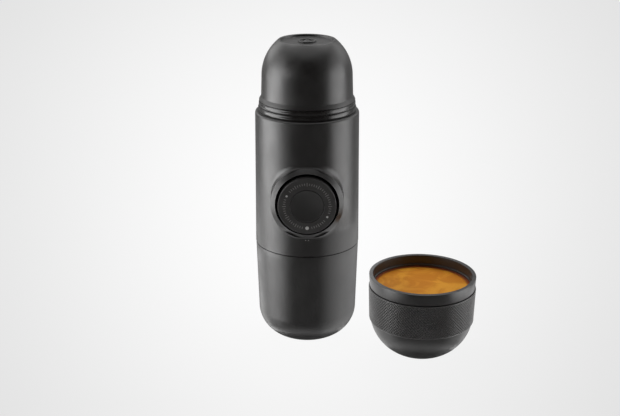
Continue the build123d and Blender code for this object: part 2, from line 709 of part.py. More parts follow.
with BuildPart() as delivery_tube:
    tube(outlet_z + valve_chamber, brew_z, TUBE_RADIUS, TUBE_BORE_RADIUS, y=valve_y)
pieces["delivery_tube"] = delivery_tube

# ---------------------------------------------------------------- brew head and shower

with BuildPart() as brew_head:
    tube(brew_z, spigot_top, spigot_radius)
    tube(body_top - BREW_FLANGE, body_top, bore_radius)
    tube(ledge_z, spigot_top, spigot_bore, mode=Mode.SUBTRACT)
    chamber = spigot_bore - SPIGOT_LEDGE
    tube(brew_z + BREW_FLOOR, ledge_z, chamber, SHOWER_POST_RADIUS, mode=Mode.SUBTRACT)
    tube(ledge_z - SHOWER_SCREW_LENGTH, ledge_z, SHOWER_SCREW_RADIUS, mode=Mode.SUBTRACT)
    tube(brew_z, brew_z + BREW_FLOOR, TUBE_BORE_RADIUS, y=valve_y, mode=Mode.SUBTRACT)
    screw_thread(spigot_radius, collar_top, spigot_top)
    round_ring(collar_seat, *posts, BREW_SCREW_RADIUS, -BREW_FLANGE, Mode.SUBTRACT)
    round_ring(collar_seat, *posts, BREW_SCREW_HEAD_RADIUS, -BREW_SCREW_HEAD_HEIGHT, Mode.SUBTRACT)
pieces["brew_head"] = brew_head

with BuildPart() as brew_head_screws:
    round_ring(collar_seat, *posts, BREW_SCREW_HEAD_RADIUS, -BREW_SCREW_HEAD_HEIGHT)
    round_ring(collar_seat, *posts, BREW_SCREW_RADIUS, -BREW_SCREW_LENGTH)
pieces["brew_head_screws"] = brew_head_screws

with BuildPart() as shower_screen:
    tube(ledge_z, gasket_z, spigot_bore, SHOWER_SCREW_RADIUS)
    inside_gasket = spigot_bore - GASKET_WIDTH - SCREEN_HOLE_RADIUS
    rings_of_holes(inside_gasket, SCREEN_HOLE_RADIUS, SCREEN_HOLE_PITCH, ledge_z, gasket_z, first=2)
pieces["shower_screen"] = shower_screen

with BuildPart() as shower_screw:
    tube(ledge_z - SHOWER_SCREW_LENGTH, gasket_z, SHOWER_SCREW_RADIUS)
    tube(gasket_z, gasket_z + SHOWER_SCREW_HEAD_HEIGHT, SHOWER_SCREW_HEAD_RADIUS)
pieces["shower_screw"] = shower_screw

with BuildPart() as brew_gasket:
    tube(gasket_z, gasket_z + GASKET_THICKNESS, spigot_bore, spigot_bore - GASKET_WIDTH)
pieces["brew_gasket"] = brew_gasket

# The basket's mouth faces down, to the shower; its perforated bottom faces up.
with BuildPart() as filter_basket:
    tube(basket_z, basket_z + BASKET_WALL, basket_rim_radius)
    tube(basket_z, basket_top, basket_radius)
    tube(basket_z, basket_top - BASKET_WALL, basket_radius - BASKET_WALL, mode=Mode.SUBTRACT)
    inside_seal = basket_radius - HEAD_SEAL_WIDTH - BASKET_HOLE_RADIUS
    floor_z = basket_top - BASKET_WALL
    rings_of_holes(inside_seal, BASKET_HOLE_RADIUS, BASKET_HOLE_PITCH, floor_z, basket_top)
pieces["filter_basket"] = filter_basket

# ---------------------------------------------------------------- neck collar

# Two rounded beads, one above the other, with a groove below each.
bead_height = (COLLAR_HEIGHT - COLLAR_FOOT) / 2
with BuildPart() as neck_collar:
    with BuildSketch(MACHINE):
        with BuildLine():
            low_root = collar_low_radius - COLLAR_GROOVE
            top_root = collar_top_radius - COLLAR_GROOVE
            first = body_top + COLLAR_FOOT
            second = first + bead_height
            low_crest = (collar_low_radius, first + bead_height / 2)
            top_crest = (collar_top_radius, second + bead_height / 2)
            Line((spigot_radius, collar_top), (spigot_radius, body_top))
            Polyline((spigot_radius, body_top), (low_root, body_top), (low_root, first))
            ThreePointArc((low_root, first), low_crest, (low_root, second))
            Line((low_root, second), (top_root, second))
            ThreePointArc((top_root, second), top_crest, (top_root, collar_top))
            Line((top_root, collar_top), (spigot_radius, collar_top))
        make_face()
    revolve(axis=Axis.Z)
pieces["neck_collar"] = neck_collar

# ---------------------------------------------------------------- outlet head


def on_dome(z, inset=0.0):
    """The point of the dome's arc at this height, moved in square to the arc."""
    return dome_centre + sqrt((dome_radius - inset) ** 2 - (z - shoulder_z) ** 2), z


# A dome cut off flat, with a thin raised rim round its top deck.
with BuildPart() as outlet_head:
    with BuildSketch(MACHINE):
        with BuildLine():
            Polyline(
                (0, head_z),
                (head_flare_radius, head_z),
                (head_radius, head_z + HEAD_FLARE_HEIGHT),
                (head_shoulder_radius, shoulder_z),
            )
            ThreePointArc(on_dome(shoulder_z), on_dome((shoulder_z + head_top) / 2), on_dome(head_top))
            rim_inside = HEAD_RIM_RADIUS - HEAD_RIM_WIDTH
            Polyline(
                (HEAD_RIM_RADIUS, head_top),
                (rim_inside, head_top),
                (rim_inside - HEAD_RECESS_SLOPE, deck_z),
                (0, deck_z),
                (0, head_z),
            )
        make_face()
    revolve(axis=Axis.Z)
    tube(head_z, nozzle_top, head_bore, mode=Mode.SUBTRACT)
    with BuildSketch(MACHINE):
        with BuildLine():
            inner_low = on_dome(shoulder_z, HEAD_WALL)
            inner_middle = on_dome((shoulder_z + roof_z) / 2, HEAD_WALL)
            inner_top = on_dome(roof_z, HEAD_WALL)
            Polyline((0, nozzle_top), (head_bore, nozzle_top), inner_low)
            ThreePointArc(inner_low, inner_middle, inner_top)
            Polyline(inner_top, (0, roof_z), (0, nozzle_top))
        make_face()
    revolve(axis=Axis.Z, mode=Mode.SUBTRACT)
    tube(roof_z, deck_z, NOZZLE_RADIUS, mode=Mode.SUBTRACT)
pieces["outlet_head"] = outlet_head

# A funnel under a spout; the spout ends in a low rim on the deck, dished round its tip.
with BuildPart() as outlet_nozzle:
    rim_z = deck_z + NOZZLE_PROUD
    well_z = rim_z - NOZZLE_WELL
    tip_z = well_z + NOZZLE_TIP_HEIGHT
    turn(
        [
            (NOZZLE_BORE_RADIUS, tip_z),
            (NOZZLE_BORE_RADIUS, well_z - NOZZLE_WALL),
            (NOZZLE_RADIUS - NOZZLE_WALL, well_z - NOZZLE_WALL),
            (NOZZLE_RADIUS - NOZZLE_WALL, nozzle_z + NOZZLE_FUNNEL_DEPTH),
            (basket_radius - HEAD_SEAL_WIDTH, nozzle_z),
            (head_bore, nozzle_z),
            (head_bore, nozzle_top),
            (NOZZLE_RADIUS, nozzle_top),
            (NOZZLE_RADIUS, rim_z),
            (NOZZLE_RADIUS - NOZZLE_RIM_WIDTH, rim_z),
            (NOZZLE_RADIUS - NOZZLE_RIM_WIDTH, well_z),
            (NOZZLE_TIP_RADIUS, well_z),
            (NOZZLE_TIP_TOP_RADIUS, tip_z),
        ]
    )
pieces["outlet_nozzle"] = outlet_nozzle

with BuildPart() as head_seal:
    tube(head_seal_z, nozzle_z, basket_radius, basket_radius - HEAD_SEAL_WIDTH)
pieces["head_seal"] = head_seal

# ---------------------------------------------------------------- cup

# A rounded bowl, a grip band let into its side and a plain rim above a shadow groove.
with BuildPart() as cup_shell:
    with BuildSketch(CUP):
        with BuildLine():
            bowl_low = (CUP_FOOT_RADIUS + CUP_FOOT_EDGE_WIDTH, CUP_FOOT_EDGE)
            bowl_top = (bowl_radius, CUP_BOWL_HEIGHT)
            Polyline((0, 0), (CUP_FOOT_RADIUS, 0), bowl_low)
            SagittaArc(bowl_low, bowl_top, -CUP_BOWL_BULGE)
            Polyline(
                bowl_top,
                (cup_core, grip_z),
                (cup_core, groove_top),
                (rim_base_radius, groove_top),
                (rim_radius, CUP_HEIGHT - EDGE_CHAMFER),
                (rim_radius - EDGE_CHAMFER, CUP_HEIGHT),
                (0, CUP_HEIGHT),
                (0, 0),
            )
        make_face()
    revolve(axis=CUP_AXIS)
    with BuildSketch(CUP):
        with BuildLine():
            ledge = CUP_HEIGHT - LEDGE_DEPTH
            inside_low = (CUP_FOOT_RADIUS, CUP_FLOOR)
            inside_side = (cup_core - CUP_WALL, CUP_BOWL_HEIGHT)
            Line((0, CUP_FLOOR), inside_low)
            SagittaArc(inside_low, inside_side, -CUP_BOWL_BULGE)
            Polyline(
                inside_side,
                (cup_bore - LEDGE_WIDTH, ledge - LEDGE_WIDTH),
                (cup_bore - LEDGE_WIDTH, ledge),
                (cup_bore, ledge),
                (cup_bore, CUP_HEIGHT),
                (0, CUP_HEIGHT),
                (0, CUP_FLOOR),
            )
        make_face()
    revolve(axis=CUP_AXIS, mode=Mode.SUBTRACT)
    # Lugs inside the rim, which click under the collar's bead.
    lug_z = CUP_HEIGHT - LUG_DROP - LUG_HEIGHT
    for lug in range(LUG_COUNT):
        with BuildSketch(CUP) as section:
            with Locations((cup_bore, lug_z + LUG_HEIGHT / 2)):
                Rectangle(2 * LUG_DEPTH, LUG_HEIGHT)
        start = lug * 360 / LUG_COUNT - LUG_ANGLE / 2
        revolve(section.sketch.rotate(CUP_AXIS, start), axis=CUP_AXIS, revolution_arc=LUG_ANGLE)
pieces["cup_shell"] = cup_shell

with BuildPart() as cup_grip:
    turn(
        [
            (cup_core, grip_z),
            (grip_low_radius - GRIP_BEVEL, grip_z),
            (grip_low_radius, grip_z + GRIP_BEVEL),
            (grip_top_radius, grip_top - GRIP_BEVEL / 2),
            (grip_top_radius - GRIP_BEVEL / 2, grip_top),
            (cup_core, grip_top),
        ],
        CUP,
        CUP_AXIS,
    )
pieces["cup_grip"] = cup_grip

# ---------------------------------------------------------------- one STEP file for each piece

os.makedirs("parts", exist_ok=True)
for name, piece in pieces.items():
    solid = piece.part if isinstance(piece, BuildPart) else piece
    solid.label = name
    export_step(solid, f"parts/{name}.step")
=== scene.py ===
"""Handheld manual espresso maker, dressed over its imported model.

Fine turned shells, finishes, the crema in the cup, a pale floor, soft light and the camera.
Lengths are millimetres, and a mesh is scaled to metres as it is made. Angles round the machine
start at its front, where the pump knob is, and run anticlockwise seen from above.
"""

import json
import math

import bmesh
import bpy
import numpy as np
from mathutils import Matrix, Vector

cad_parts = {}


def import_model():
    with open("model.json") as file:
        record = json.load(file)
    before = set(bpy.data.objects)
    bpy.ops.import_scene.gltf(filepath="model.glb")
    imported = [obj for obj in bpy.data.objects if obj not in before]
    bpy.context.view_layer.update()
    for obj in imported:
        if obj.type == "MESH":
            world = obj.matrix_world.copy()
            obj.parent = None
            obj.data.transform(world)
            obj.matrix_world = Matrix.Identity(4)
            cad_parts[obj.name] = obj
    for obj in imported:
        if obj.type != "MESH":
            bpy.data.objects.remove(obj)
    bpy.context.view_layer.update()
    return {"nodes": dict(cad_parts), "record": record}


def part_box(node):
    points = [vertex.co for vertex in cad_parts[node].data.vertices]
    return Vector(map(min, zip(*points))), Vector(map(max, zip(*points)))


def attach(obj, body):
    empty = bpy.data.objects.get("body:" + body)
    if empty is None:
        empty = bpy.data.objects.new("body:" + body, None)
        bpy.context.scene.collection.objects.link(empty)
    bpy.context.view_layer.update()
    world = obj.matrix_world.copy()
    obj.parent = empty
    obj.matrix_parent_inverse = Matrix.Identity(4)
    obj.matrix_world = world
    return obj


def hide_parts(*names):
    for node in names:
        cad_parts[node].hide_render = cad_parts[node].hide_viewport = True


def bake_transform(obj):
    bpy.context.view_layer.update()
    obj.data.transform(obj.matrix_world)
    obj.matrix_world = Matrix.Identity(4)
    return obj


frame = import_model()

MM = 0.001
COLUMNS = 256  # steps round a full turn
STEP = 2 * math.pi / COLUMNS
RUN = 4.0  # straight runs of an outline are split into pieces no longer than this
JOIN = 0.0005  # points nearer than this are one point
CREASE = 32.0  # degrees between faces past which their edge stays sharp
SOFT_EDGE = 0.3  # roundings of moulded edges
EASED_EDGE = 0.25
CRISP_EDGE = 0.2


# ---------------------------------------------------------------- sizes


def span(node):
    """Lowest and highest corner of a CAD node."""
    low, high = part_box(node)
    return np.array(low) / MM, np.array(high) / MM


tank_high = span("tank_shell")[1]
body_low, body_high = span("body_shell")
neck_top = tank_high[2]
tank_top_radius = tank_high[0]
body_z = body_low[2]
body_top = body_high[2]
body_radius = body_high[0]
boss_front = -body_low[1]

TANK_WALL = 2.2
TANK_FLOOR = 2.6
SEAM = 0.2
SEAM_REBATE = 0.15  # each edge of the seam is cut back by this, so that it reads as a shadow line
SEAM_DEPTH = 1.0
SEAM_EDGE = 0.06  # rounding or bevel of the two edges at the seam
FOOT_RADIUS = 12.5
FOOT_ROUNDING = 0.4
FOOT_EDGE_WIDTH = 1.7
CORNER_WIDTH = 18.1
CORNER_HEIGHT = 17.8
TANK_DRAFT = 1.17
NECK_RADIUS = 23.5
NECK_WALL = 1.8
NECK_ROOT_ROUNDING = 0.5
SHOULDER_ROUNDING = 1.0  # inside, where the shoulder meets the wall
THREAD_DEPTH = 0.85
THREAD_WIDTH = 1.6
THREAD_CREST = 0.64
THREAD_SUNK = 0.28
THREAD_LEAD = 7.5
THREAD_STARTS = 3
THREAD_CLEAR = 1.6  # from the shoulder up to the thread
THREAD_BEARING = 20
THREAD_STEPS = 120
THREAD_RUN_OUT = 14  # a ridge swells and shrinks over one part in this many of its length
shoulder_z = body_z - SEAM

BODY_DRAFT = 0.55
BODY_WALL = 2.2
LIP_HEIGHT = 1.3
LIP_WIDTH = 1.0
BOSS_RADIUS = 19.7
BOSS_DRAFT = 0.1
BOSS_BLEND = 0.8
BOSS_DIAGONAL_BLEND = 5.0  # halfway between its sides and its top and foot
BOSS_BEVEL = 1.5  # along the pump's axis
BEVEL_EASE = ((0.03, -0.1), (-0.1, 0.07))  # how far two points round its edge lie out and ahead of it
BLEND_SEARCH = 8.5  # how far out from the boss its blend is looked for
WINDOW_COLUMNS = 50  # steps to either side of the front within which rays run to the boss
WINDOW_ROWS = 60
BLEND_SAMPLES = 800
BLEND_ROWS = 10
OUTER_ROWS = 30
OUTER_CROWDING = 1.5  # rows crowd towards the boss with their share to this power
INNER_ROWS = 20
MOUTH_EDGE = 0.15
MOUTH_LIP = 0.4  # height and width of the slanted side of the mouth's raised edge
BEZEL_WALL = 0.65
BEZEL_DEPTH = 4.4
BEZEL_ROUNDING = 0.14
KNOB_GAP = 0.9
DOT_RADIUS = 0.24
DOT_SPACING = 1.6
DOT_DROP = 21.3  # below the pump's axis
DOT_SUNK = 0.2
DOT_PROUD = 0.05
DOT_ROUNDING = 0.04
bore_radius = body_radius - BODY_DRAFT - BODY_WALL

knob_low, knob_high = span("pump_knob")
knob_radius = knob_high[0]
knob_face = -knob_low[1]
knob_back = -knob_high[1]
pump_z = (knob_low[2] + knob_high[2]) / 2
sleeve_back = -span("pump_spring")[1][1]
spring_front = -span("pump_spring")[0][1]
SPRING_WIRE = 0.6
SPRING_TURNS = 6
VALVE_SPRING_WIRE = 0.15
VALVE_SPRING_TURNS = 3
COIL_STEPS = 48  # to a turn
COIL_SIDES = 10
COIL_POINT = 40  # a wire's end thins to a point over one part in this many of a turn
knob_bore = knob_radius + KNOB_GAP
KNOB_WALL = 1.8
KNOB_FACE = 4.2
KNOB_ROUNDING = 0.3
HUB_RADIUS = 5.85
HUB_LENGTH = 9.0
HUB_BORE = 3.25
SCREW_RECESS = 4.8
SCREW_RECESS_DEPTH = 2.9  # below the knob's face
DISC_DISH = 1.3
DISC_EDGE = 0.5
DISC_STEPS = 30
DISC_GAP = 0.05
TICK_COUNT = 60
TICK_LONG_EVERY = 5
TICK_RADIUS = 12.3  # middle of the ring of printed marks
TICK_SHORT = 1.2
TICK_LONG = 2.0
TICK_WIDTH = 0.34
TICK_CLEAR = 8.0  # degrees kept free round a dot
KNOB_DOTS = [(-90, 0.95), (152, 0.55), (-29, 0.55)]  # bearing and radius
INK_SUNK = 0.1
INK_PROUD = 0.03
disc_radius = span("knob_disc")[1][0]
disc_front = -span("knob_disc")[0][1]
disc_back = -span("knob_disc")[1][1]

collar_low, collar_high = span("neck_collar")
COLLAR_FOOT = 0.3
COLLAR_GROOVE = 0.35
COLLAR_STEP = 0.4
SPIGOT_RADIUS = 22.0

head_low, head_high = span("outlet_head")
nozzle_low, nozzle_high = span("outlet_nozzle")
HEAD_FLARE_WIDTH = 1.25
HEAD_FLARE_HEIGHT = 2.3
HEAD_FLARE_EDGE = 0.15
HEAD_FLARE_ROOT = 1.2
HEAD_DRAFT = 0.35
HEAD_WALL = 1.9
HEAD_SPARE = 3.0
HEAD_RIM_RADIUS = 15.5
HEAD_RIM_WIDTH = 1.1
HEAD_RECESS_DEPTH = 1.2
HEAD_RECESS_SLOPE = 0.3
HEAD_DECK = 1.9
NOZZLE_FLANGE = 2.0
NOZZLE_FUNNEL_RADIUS = 16.3
NOZZLE_FUNNEL_DEPTH = 1.2
NOZZLE_RADIUS = 5.0
NOZZLE_WALL = 1.7
NOZZLE_PROUD = 0.8
NOZZLE_GAP = 0.02
NOZZLE_RIM_WIDTH = 0.9
NOZZLE_WELL = 0.7
NOZZLE_TIP_RADIUS = 1.9
NOZZLE_TIP_TOP_RADIUS = 1.0
NOZZLE_TIP_HEIGHT = 0.9
NOZZLE_BORE_RADIUS = 0.5

cup_low, cup_high = span("cup_shell")
grip_low, grip_high = span("cup_grip")
cup_place = (cup_low + cup_high) / 2 * (1, 1, 0)
cup_height = cup_high[2]
CUP_WALL = 1.8
CUP_FLOOR = 2.4
CUP_FOOT_RADIUS = 12.5
CUP_FOOT_EDGE = 0.7
CUP_FOOT_EDGE_WIDTH = 1.75
CUP_BOWL_BULGE = 2.9
GRIP_DRAFT = 0.6
GRIP_STEP = 0.65
GRIP_THICKNESS = 1.1
GRIP_BEVEL = 0.45
GRIP_INSET = 0.05  # its smooth edges lie this far inside the knurl's crests
GRIP_EDGE_LOW = 0.4
GRIP_EDGE_HIGH = 0.3
RIM_GROOVE = 0.4
RIM_DRAFT = 0.4
LEDGE_DEPTH = 5.2
LEDGE_WIDTH = 0.6
LUG_COUNT = 2
LUG_ANGLE = 12.0
LUG_HEIGHT = 1.4
LUG_DEPTH = 0.5
LUG_DROP = 2.0
LUG_STEPS = 25
LUG_FADE = 5  # a lug swells and fades over one part in this many of its half
CREMA_DROP = 6.7  # from the rim down to the crema
CREMA_CLIMB = 0.35
CREMA_CLIMB_WIDTH = 0.5
CREMA_GAP = 0.03
CREMA_STEPS = 60
DRINK_GAP = 0.05  # between the drink and the bowl
KNURL_COUNT = 108  # diamonds round the band
KNURL_DEPTH = 0.26
KNURL_STEPS = 6  # grid points to a diamond
KNURL_CREASE = 18.0
grip_z = grip_low[2]
grip_top = grip_high[2]
grip_top_radius = (grip_high[0] - grip_low[0]) / 2
grip_low_radius = grip_top_radius - GRIP_DRAFT
cup_core = grip_low_radius - GRIP_THICKNESS
bowl_radius = grip_low_radius - GRIP_STEP
rim_radius = (cup_high[0] - cup_low[0]) / 2
rim_base_radius = rim_radius - RIM_DRAFT
cup_bore = rim_base_radius - CUP_WALL


# ---------------------------------------------------------------- outlines


def arc(centre, half_axes, start, end, count=24):
    """An elliptical arc: the centre plus each half axis times the cosine and sine of even steps of angle."""
    angle = np.radians(np.linspace(start, end, count))
    return np.array(centre) + np.array(half_axes) * np.column_stack([np.cos(angle), np.sin(angle)])


def bowed(start, end, rise, count=24):
    """A circle's arc from start to end whose middle stands off the straight line by the rise, to its right.

    Half the chord and the rise give the radius, (half chord squared + rise squared) / twice the rise.
    """
    start, end = np.array(start, float), np.array(end, float)
    half = np.linalg.norm(end - start) / 2
    along = (end - start) / (2 * half)
    right = np.array([along[1], -along[0]])
    radius = (half**2 + rise**2) / (2 * rise)
    reach = math.asin(half / radius)
    angle = np.linspace(-reach, reach, count)[:, None]
    centre = (start + end) / 2 + right * (rise - radius)
    return centre + radius * (np.sin(angle) * along + np.cos(angle) * right)


def outline(*runs, closed=False, steps=5):
    """A profile of (radius, height) points from corners, rounded corners and arcs.

    A corner may carry a rounding as its third number. It becomes an arc that touches both of its
    runs, starting rounding / tan(half its angle) from the corner. Long runs are then split evenly.
    """
    rows = [np.atleast_2d(np.array(run, float)) for run in runs]
    rows = [np.column_stack([row, np.zeros(len(row))]) if row.shape[1] == 2 else row for row in rows]
    corners = np.vstack(rows)
    point, rounding = corners[:, :2], corners[:, 2:]
    back = np.roll(point, 1, axis=0) - point
    ahead = np.roll(point, -1, axis=0) - point
    back /= np.maximum(np.linalg.norm(back, axis=1, keepdims=True), 1e-9)
    ahead /= np.maximum(np.linalg.norm(ahead, axis=1, keepdims=True), 1e-9)
    angle = np.arccos(np.clip((back * ahead).sum(axis=1, keepdims=True), -1, 1))
    half = np.clip(angle / 2, 1e-3, math.pi / 2 - 1e-3)
    middle = back + ahead
    middle /= np.maximum(np.linalg.norm(middle, axis=1, keepdims=True), 1e-9)
    centre = point + middle * rounding / np.sin(half)
    first = point + back * rounding / np.tan(half) - centre
    last = point + ahead * rounding / np.tan(half) - centre
    sweep = math.pi - 2 * half
    share = np.linspace(0, 1, steps)[None, :, None]
    sweep = sweep[:, :, None]
    arcs = np.sin((1 - share) * sweep) * first[:, None] + np.sin(share * sweep) * last[:, None]
    arcs = centre[:, None] + arcs / np.sin(sweep)
    flat = np.where(rounding[:, None] > 0, arcs, point[:, None]).reshape(-1, 2)
    if closed:
        flat = np.vstack([flat, flat[:1]])
    gap = np.linalg.norm(np.diff(flat, axis=0), axis=1)
    kept = np.concatenate([[True], gap > JOIN])
    flat = flat[kept]
    gap = np.linalg.norm(np.diff(flat, axis=0), axis=1)
    pieces = np.maximum(np.ceil(gap / RUN).astype(int), 1)
    parts = [flat[i] + (flat[i + 1] - flat[i]) * np.arange(n)[:, None] / n for i, n in enumerate(pieces)]
    return np.vstack(parts if closed else parts + [flat[-1:]])


# ---------------------------------------------------------------- surfaces


def turned(profile, closed=True, columns=COLUMNS):
    """A surface of revolution: each profile point (radius, height) goes round a full turn in even steps.

    A closed profile comes back to its first point. An open one starts and ends on the axis, or
    where another sheet goes on.
    """
    angle = np.arange(columns) * 2 * math.pi / columns
    radius, height = profile[:, :1], profile[:, 1:]
    points = np.stack([radius * np.sin(angle), -radius * np.cos(angle), height + 0 * angle], axis=-1)
    return points, closed, True


def on_pump_axis(sheet):
    """A sheet turned about the upright axis, laid along the pump's axis with its height pointing outwards."""
    points, closed_rows, closed_columns = sheet
    laid = np.stack([points[..., 0], -points[..., 2], pump_z + points[..., 1]], axis=-1)
    return laid, closed_rows, closed_columns


def moved(sheet, place):
    """The same sheet at another place."""
    points, closed_rows, closed_columns = sheet
    return points + np.array(place), closed_rows, closed_columns


def cells(rows, columns, closed_rows, closed_columns):
    """The four corner numbers of each cell of a grid, in the order that faces columns times rows."""
    row = np.arange(rows if closed_rows else rows - 1)[:, None]
    column = np.arange(columns if closed_columns else columns - 1)[None, :]
    next_row = (row + 1) % rows
    next_column = (column + 1) % columns
    corners = [
        row * columns + column,
        row * columns + next_column,
        next_row * columns + next_column,
        next_row * columns + column,
    ]
    return np.stack(corners, axis=-1).reshape(-1, 4)


def finish_piece(name, points, faces, material, body, slot, stands_for=None, crease=CREASE):
    """Makes an object of points and faces, joins the points that meet, and hangs it on its body.

    A piece that spans two bodies, such as a spring, names none here and hangs on none.
    """
    mesh = bpy.data.meshes.new(name)
    mesh.from_pydata((points * MM).tolist(), [], faces.tolist())
    shape = bmesh.new()
    shape.from_mesh(mesh)
    bmesh.ops.remove_doubles(shape, verts=shape.verts, dist=JOIN * MM)
    shape.to_mesh(mesh)
    shape.free()
    mesh.shade_smooth()
    mesh.set_sharp_from_angle(angle=math.radians(crease))
    mesh.materials.append(material)
    piece = bpy.data.objects.new(name, mesh)
    bpy.context.scene.collection.objects.link(piece)
    if body:
        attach(piece, body)
    if stands_for:
        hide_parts(stands_for)
    return piece


def make_piece(name, sheets, *arguments, **options):
    """One object from several sheets, each a grid of points with its rows and columns open or closed."""
    points = np.concatenate([sheet[0].reshape(-1, 3) for sheet in sheets])
    sizes = [sheet[0].shape[0] * sheet[0].shape[1] for sheet in sheets]
    firsts = np.cumsum([0] + sizes[:-1])
    faces = [first + cells(*grid.shape[:2], *closed) for first, (grid, *closed) in zip(firsts, sheets)]
    return finish_piece(name, points, np.concatenate(faces), *arguments, **options)


# ---------------------------------------------------------------- colours and nodes

NOISE_LOW = 0.3  # most of a noise's values lie between these two
NOISE_HIGH = 0.7
CLOUD_SIZE = 9.0
CLOUD_LIGHT = 1.12
CLOUD_DARK = 0.9


def colour(code):
    """An sRGB hex colour as linear red, green, blue and full alpha."""
    srgb = np.array([int(code[i : i + 2], 16) for i in (1, 3, 5)]) / 255
    linear = np.where(srgb <= 0.04045, srgb / 12.92, ((srgb + 0.055) / 1.055) ** 2.4)
    return (*linear.tolist(), 1.0)


def node(tree, kind, inputs=(), **settings):
    """Adds a node. Settings are its own properties, and inputs are its sockets' values or links."""
    made = tree.nodes.new(kind)
    for name, value in settings.items():
        setattr(made, name, value)
    for name, value in dict(inputs).items():
        if isinstance(value, bpy.types.NodeSocket):
            tree.links.new(value, made.inputs[name])
        else:
            made.inputs[name].default_value = value
    return made


def new_material(name):
    """An empty node material and its tree."""
    material = bpy.data.materials.new(name)
    material.use_nodes = True
    material.node_tree.nodes.clear()
    return material, material.node_tree


def moulded(name, base, roughness, grain, grain_depth, gloss_spread=0.05, specular=0.5, ior=1.5):
    """A moulded plastic: one colour with a faint cloudiness, and the eroded grain of its mould as bump.

    The grain is the size of one pit in millimetres, and its depth is in millimetres too.
    """
    material, tree = new_material(name)
    place = node(tree, "ShaderNodeTexCoord").outputs["Object"]
    fine, broad = 1 / (grain * MM), 1 / (CLOUD_SIZE * MM)
    pits = node(tree, "ShaderNodeTexNoise", {"Vector": place, "Scale": fine, "Detail": 2.0})
    clouds = node(tree, "ShaderNodeTexNoise", {"Vector": place, "Scale": broad, "Detail": 3.0})
    *channels, alpha = colour(base)
    light = (*[min(1.0, channel * CLOUD_LIGHT) for channel in channels], alpha)
    dark = (*[channel * CLOUD_DARK for channel in channels], alpha)
    tone = node(tree, "ShaderNodeMix", {0: clouds.outputs["Fac"], 6: dark, 7: light}, data_type="RGBA")
    rough = node(
        tree,
        "ShaderNodeMapRange",
        {
            "Value": clouds.outputs["Fac"],
            "From Min": NOISE_LOW,
            "From Max": NOISE_HIGH,
            "To Min": roughness - gloss_spread,
            "To Max": roughness + gloss_spread,
        },
    )
    relief = node(tree, "ShaderNodeBump", {"Height": pits.outputs["Fac"], "Distance": grain_depth * MM})
    surface = node(
        tree,
        "ShaderNodeBsdfPrincipled",
        {
            "Base Color": tone.outputs[2],
            "Roughness": rough.outputs[0],
            "Normal": relief.outputs[0],
            "Specular IOR Level": specular,
            "IOR": ior,
        },
    )
    node(tree, "ShaderNodeOutputMaterial", {"Surface": surface.outputs[0]})
    return material


# ---------------------------------------------------------------- materials

ABS_IOR = 1.54
SILICONE_IOR = 1.41
DRAW_GRAIN = 0.4  # the steel's unevenness, coarser than the real one so that it shows
DRAW_DEPTH = 0.003
DRAW_GLOSS = (0.2, 0.34)
MARBLING_SIZE = 16.0
MARBLING_ENDS = (0.4, 0.6)
RING_ENDS = (24.2, 26.2)  # the crema darkens between these two distances from the cup's axis
BUBBLE_SIZE = 0.9
BUBBLE_DEPTH = 0.05


def graphite_abs():
    """Graphite ABS from a spark-eroded mould: satin, with wide soft highlights."""
    look = {"roughness": 0.38, "specular": 0.6, "ior": ABS_IOR}
    return moulded("graphite_abs_satin", "#1B1918", grain=0.45, grain_depth=0.010, **look)


def polished_abs():
    """The same ABS from a polished mould: the collar's beads show sharper highlights."""
    look = {"roughness": 0.25, "gloss_spread": 0.03, "ior": ABS_IOR}
    return moulded("graphite_abs_polished", "#1B1918", grain=1.5, grain_depth=0.002, **look)


def knob_abs():
    """Black ABS with a finer matt grain, on the pump knob."""
    look = {"roughness": 0.5, "ior": ABS_IOR}
    return moulded("black_abs_matt", "#242221", grain=0.4, grain_depth=0.010, **look)


def disc_abs():
    """Black ABS of the thumb disc, a shade darker than the knob round it."""
    look = {"roughness": 0.5, "ior": ABS_IOR}
    return moulded("black_abs_thumb_disc", "#191716", grain=0.4, grain_depth=0.010, **look)


def knurl_abs():
    """Graphite ABS of the grip band: its knurl is in the mesh, so its grain is faint."""
    look = {"roughness": 0.42, "specular": 0.7, "ior": ABS_IOR}
    return moulded("graphite_abs_knurled", "#2A2827", grain=0.4, grain_depth=0.004, **look)


def plain_pp():
    """Dark polypropylene of the parts inside, plain moulded, a little waxy."""
    return moulded("polypropylene_inner", "#3A3A3B", roughness=0.38, grain=0.8, grain_depth=0.006)


def silicone_rubber():
    """Grey moulded silicone: soft and matt, with no sharp highlight."""
    look = {"roughness": 0.55, "specular": 0.35, "ior": SILICONE_IOR}
    return moulded("silicone_grey", "#8C8C8B", grain=0.8, grain_depth=0.006, **look)


def drawn_steel():
    """Pressed and drawn stainless steel: bright, with a fine unevenness of height and gloss from the draw."""
    material, tree = new_material("stainless_steel_drawn")
    place = node(tree, "ShaderNodeTexCoord").outputs["Object"]
    fine = 1 / (DRAW_GRAIN * MM)
    uneven = node(tree, "ShaderNodeTexNoise", {"Vector": place, "Scale": fine, "Detail": 2.0})
    rough = node(
        tree,
        "ShaderNodeMapRange",
        {
            "Value": uneven.outputs["Fac"],
            "From Min": NOISE_LOW,
            "From Max": NOISE_HIGH,
            "To Min": DRAW_GLOSS[0],
            "To Max": DRAW_GLOSS[1],
        },
    )
    relief = node(tree, "ShaderNodeBump", {"Height": uneven.outputs["Fac"], "Distance": DRAW_DEPTH * MM})
    surface = node(
        tree,
        "ShaderNodeBsdfPrincipled",
        {
            "Base Color": colour("#C3C1BD"),
            "Metallic": 1.0,
            "Roughness": rough.outputs[0],
            "Normal": relief.outputs[0],
        },
    )
    node(tree, "ShaderNodeOutputMaterial", {"Surface": surface.outputs[0]})
    return material


def pad_ink(name, code):
    """Pad-printed ink: flat, opaque, slightly satin."""
    return moulded(name, code, roughness=0.5, grain=0.3, grain_depth=0.002)


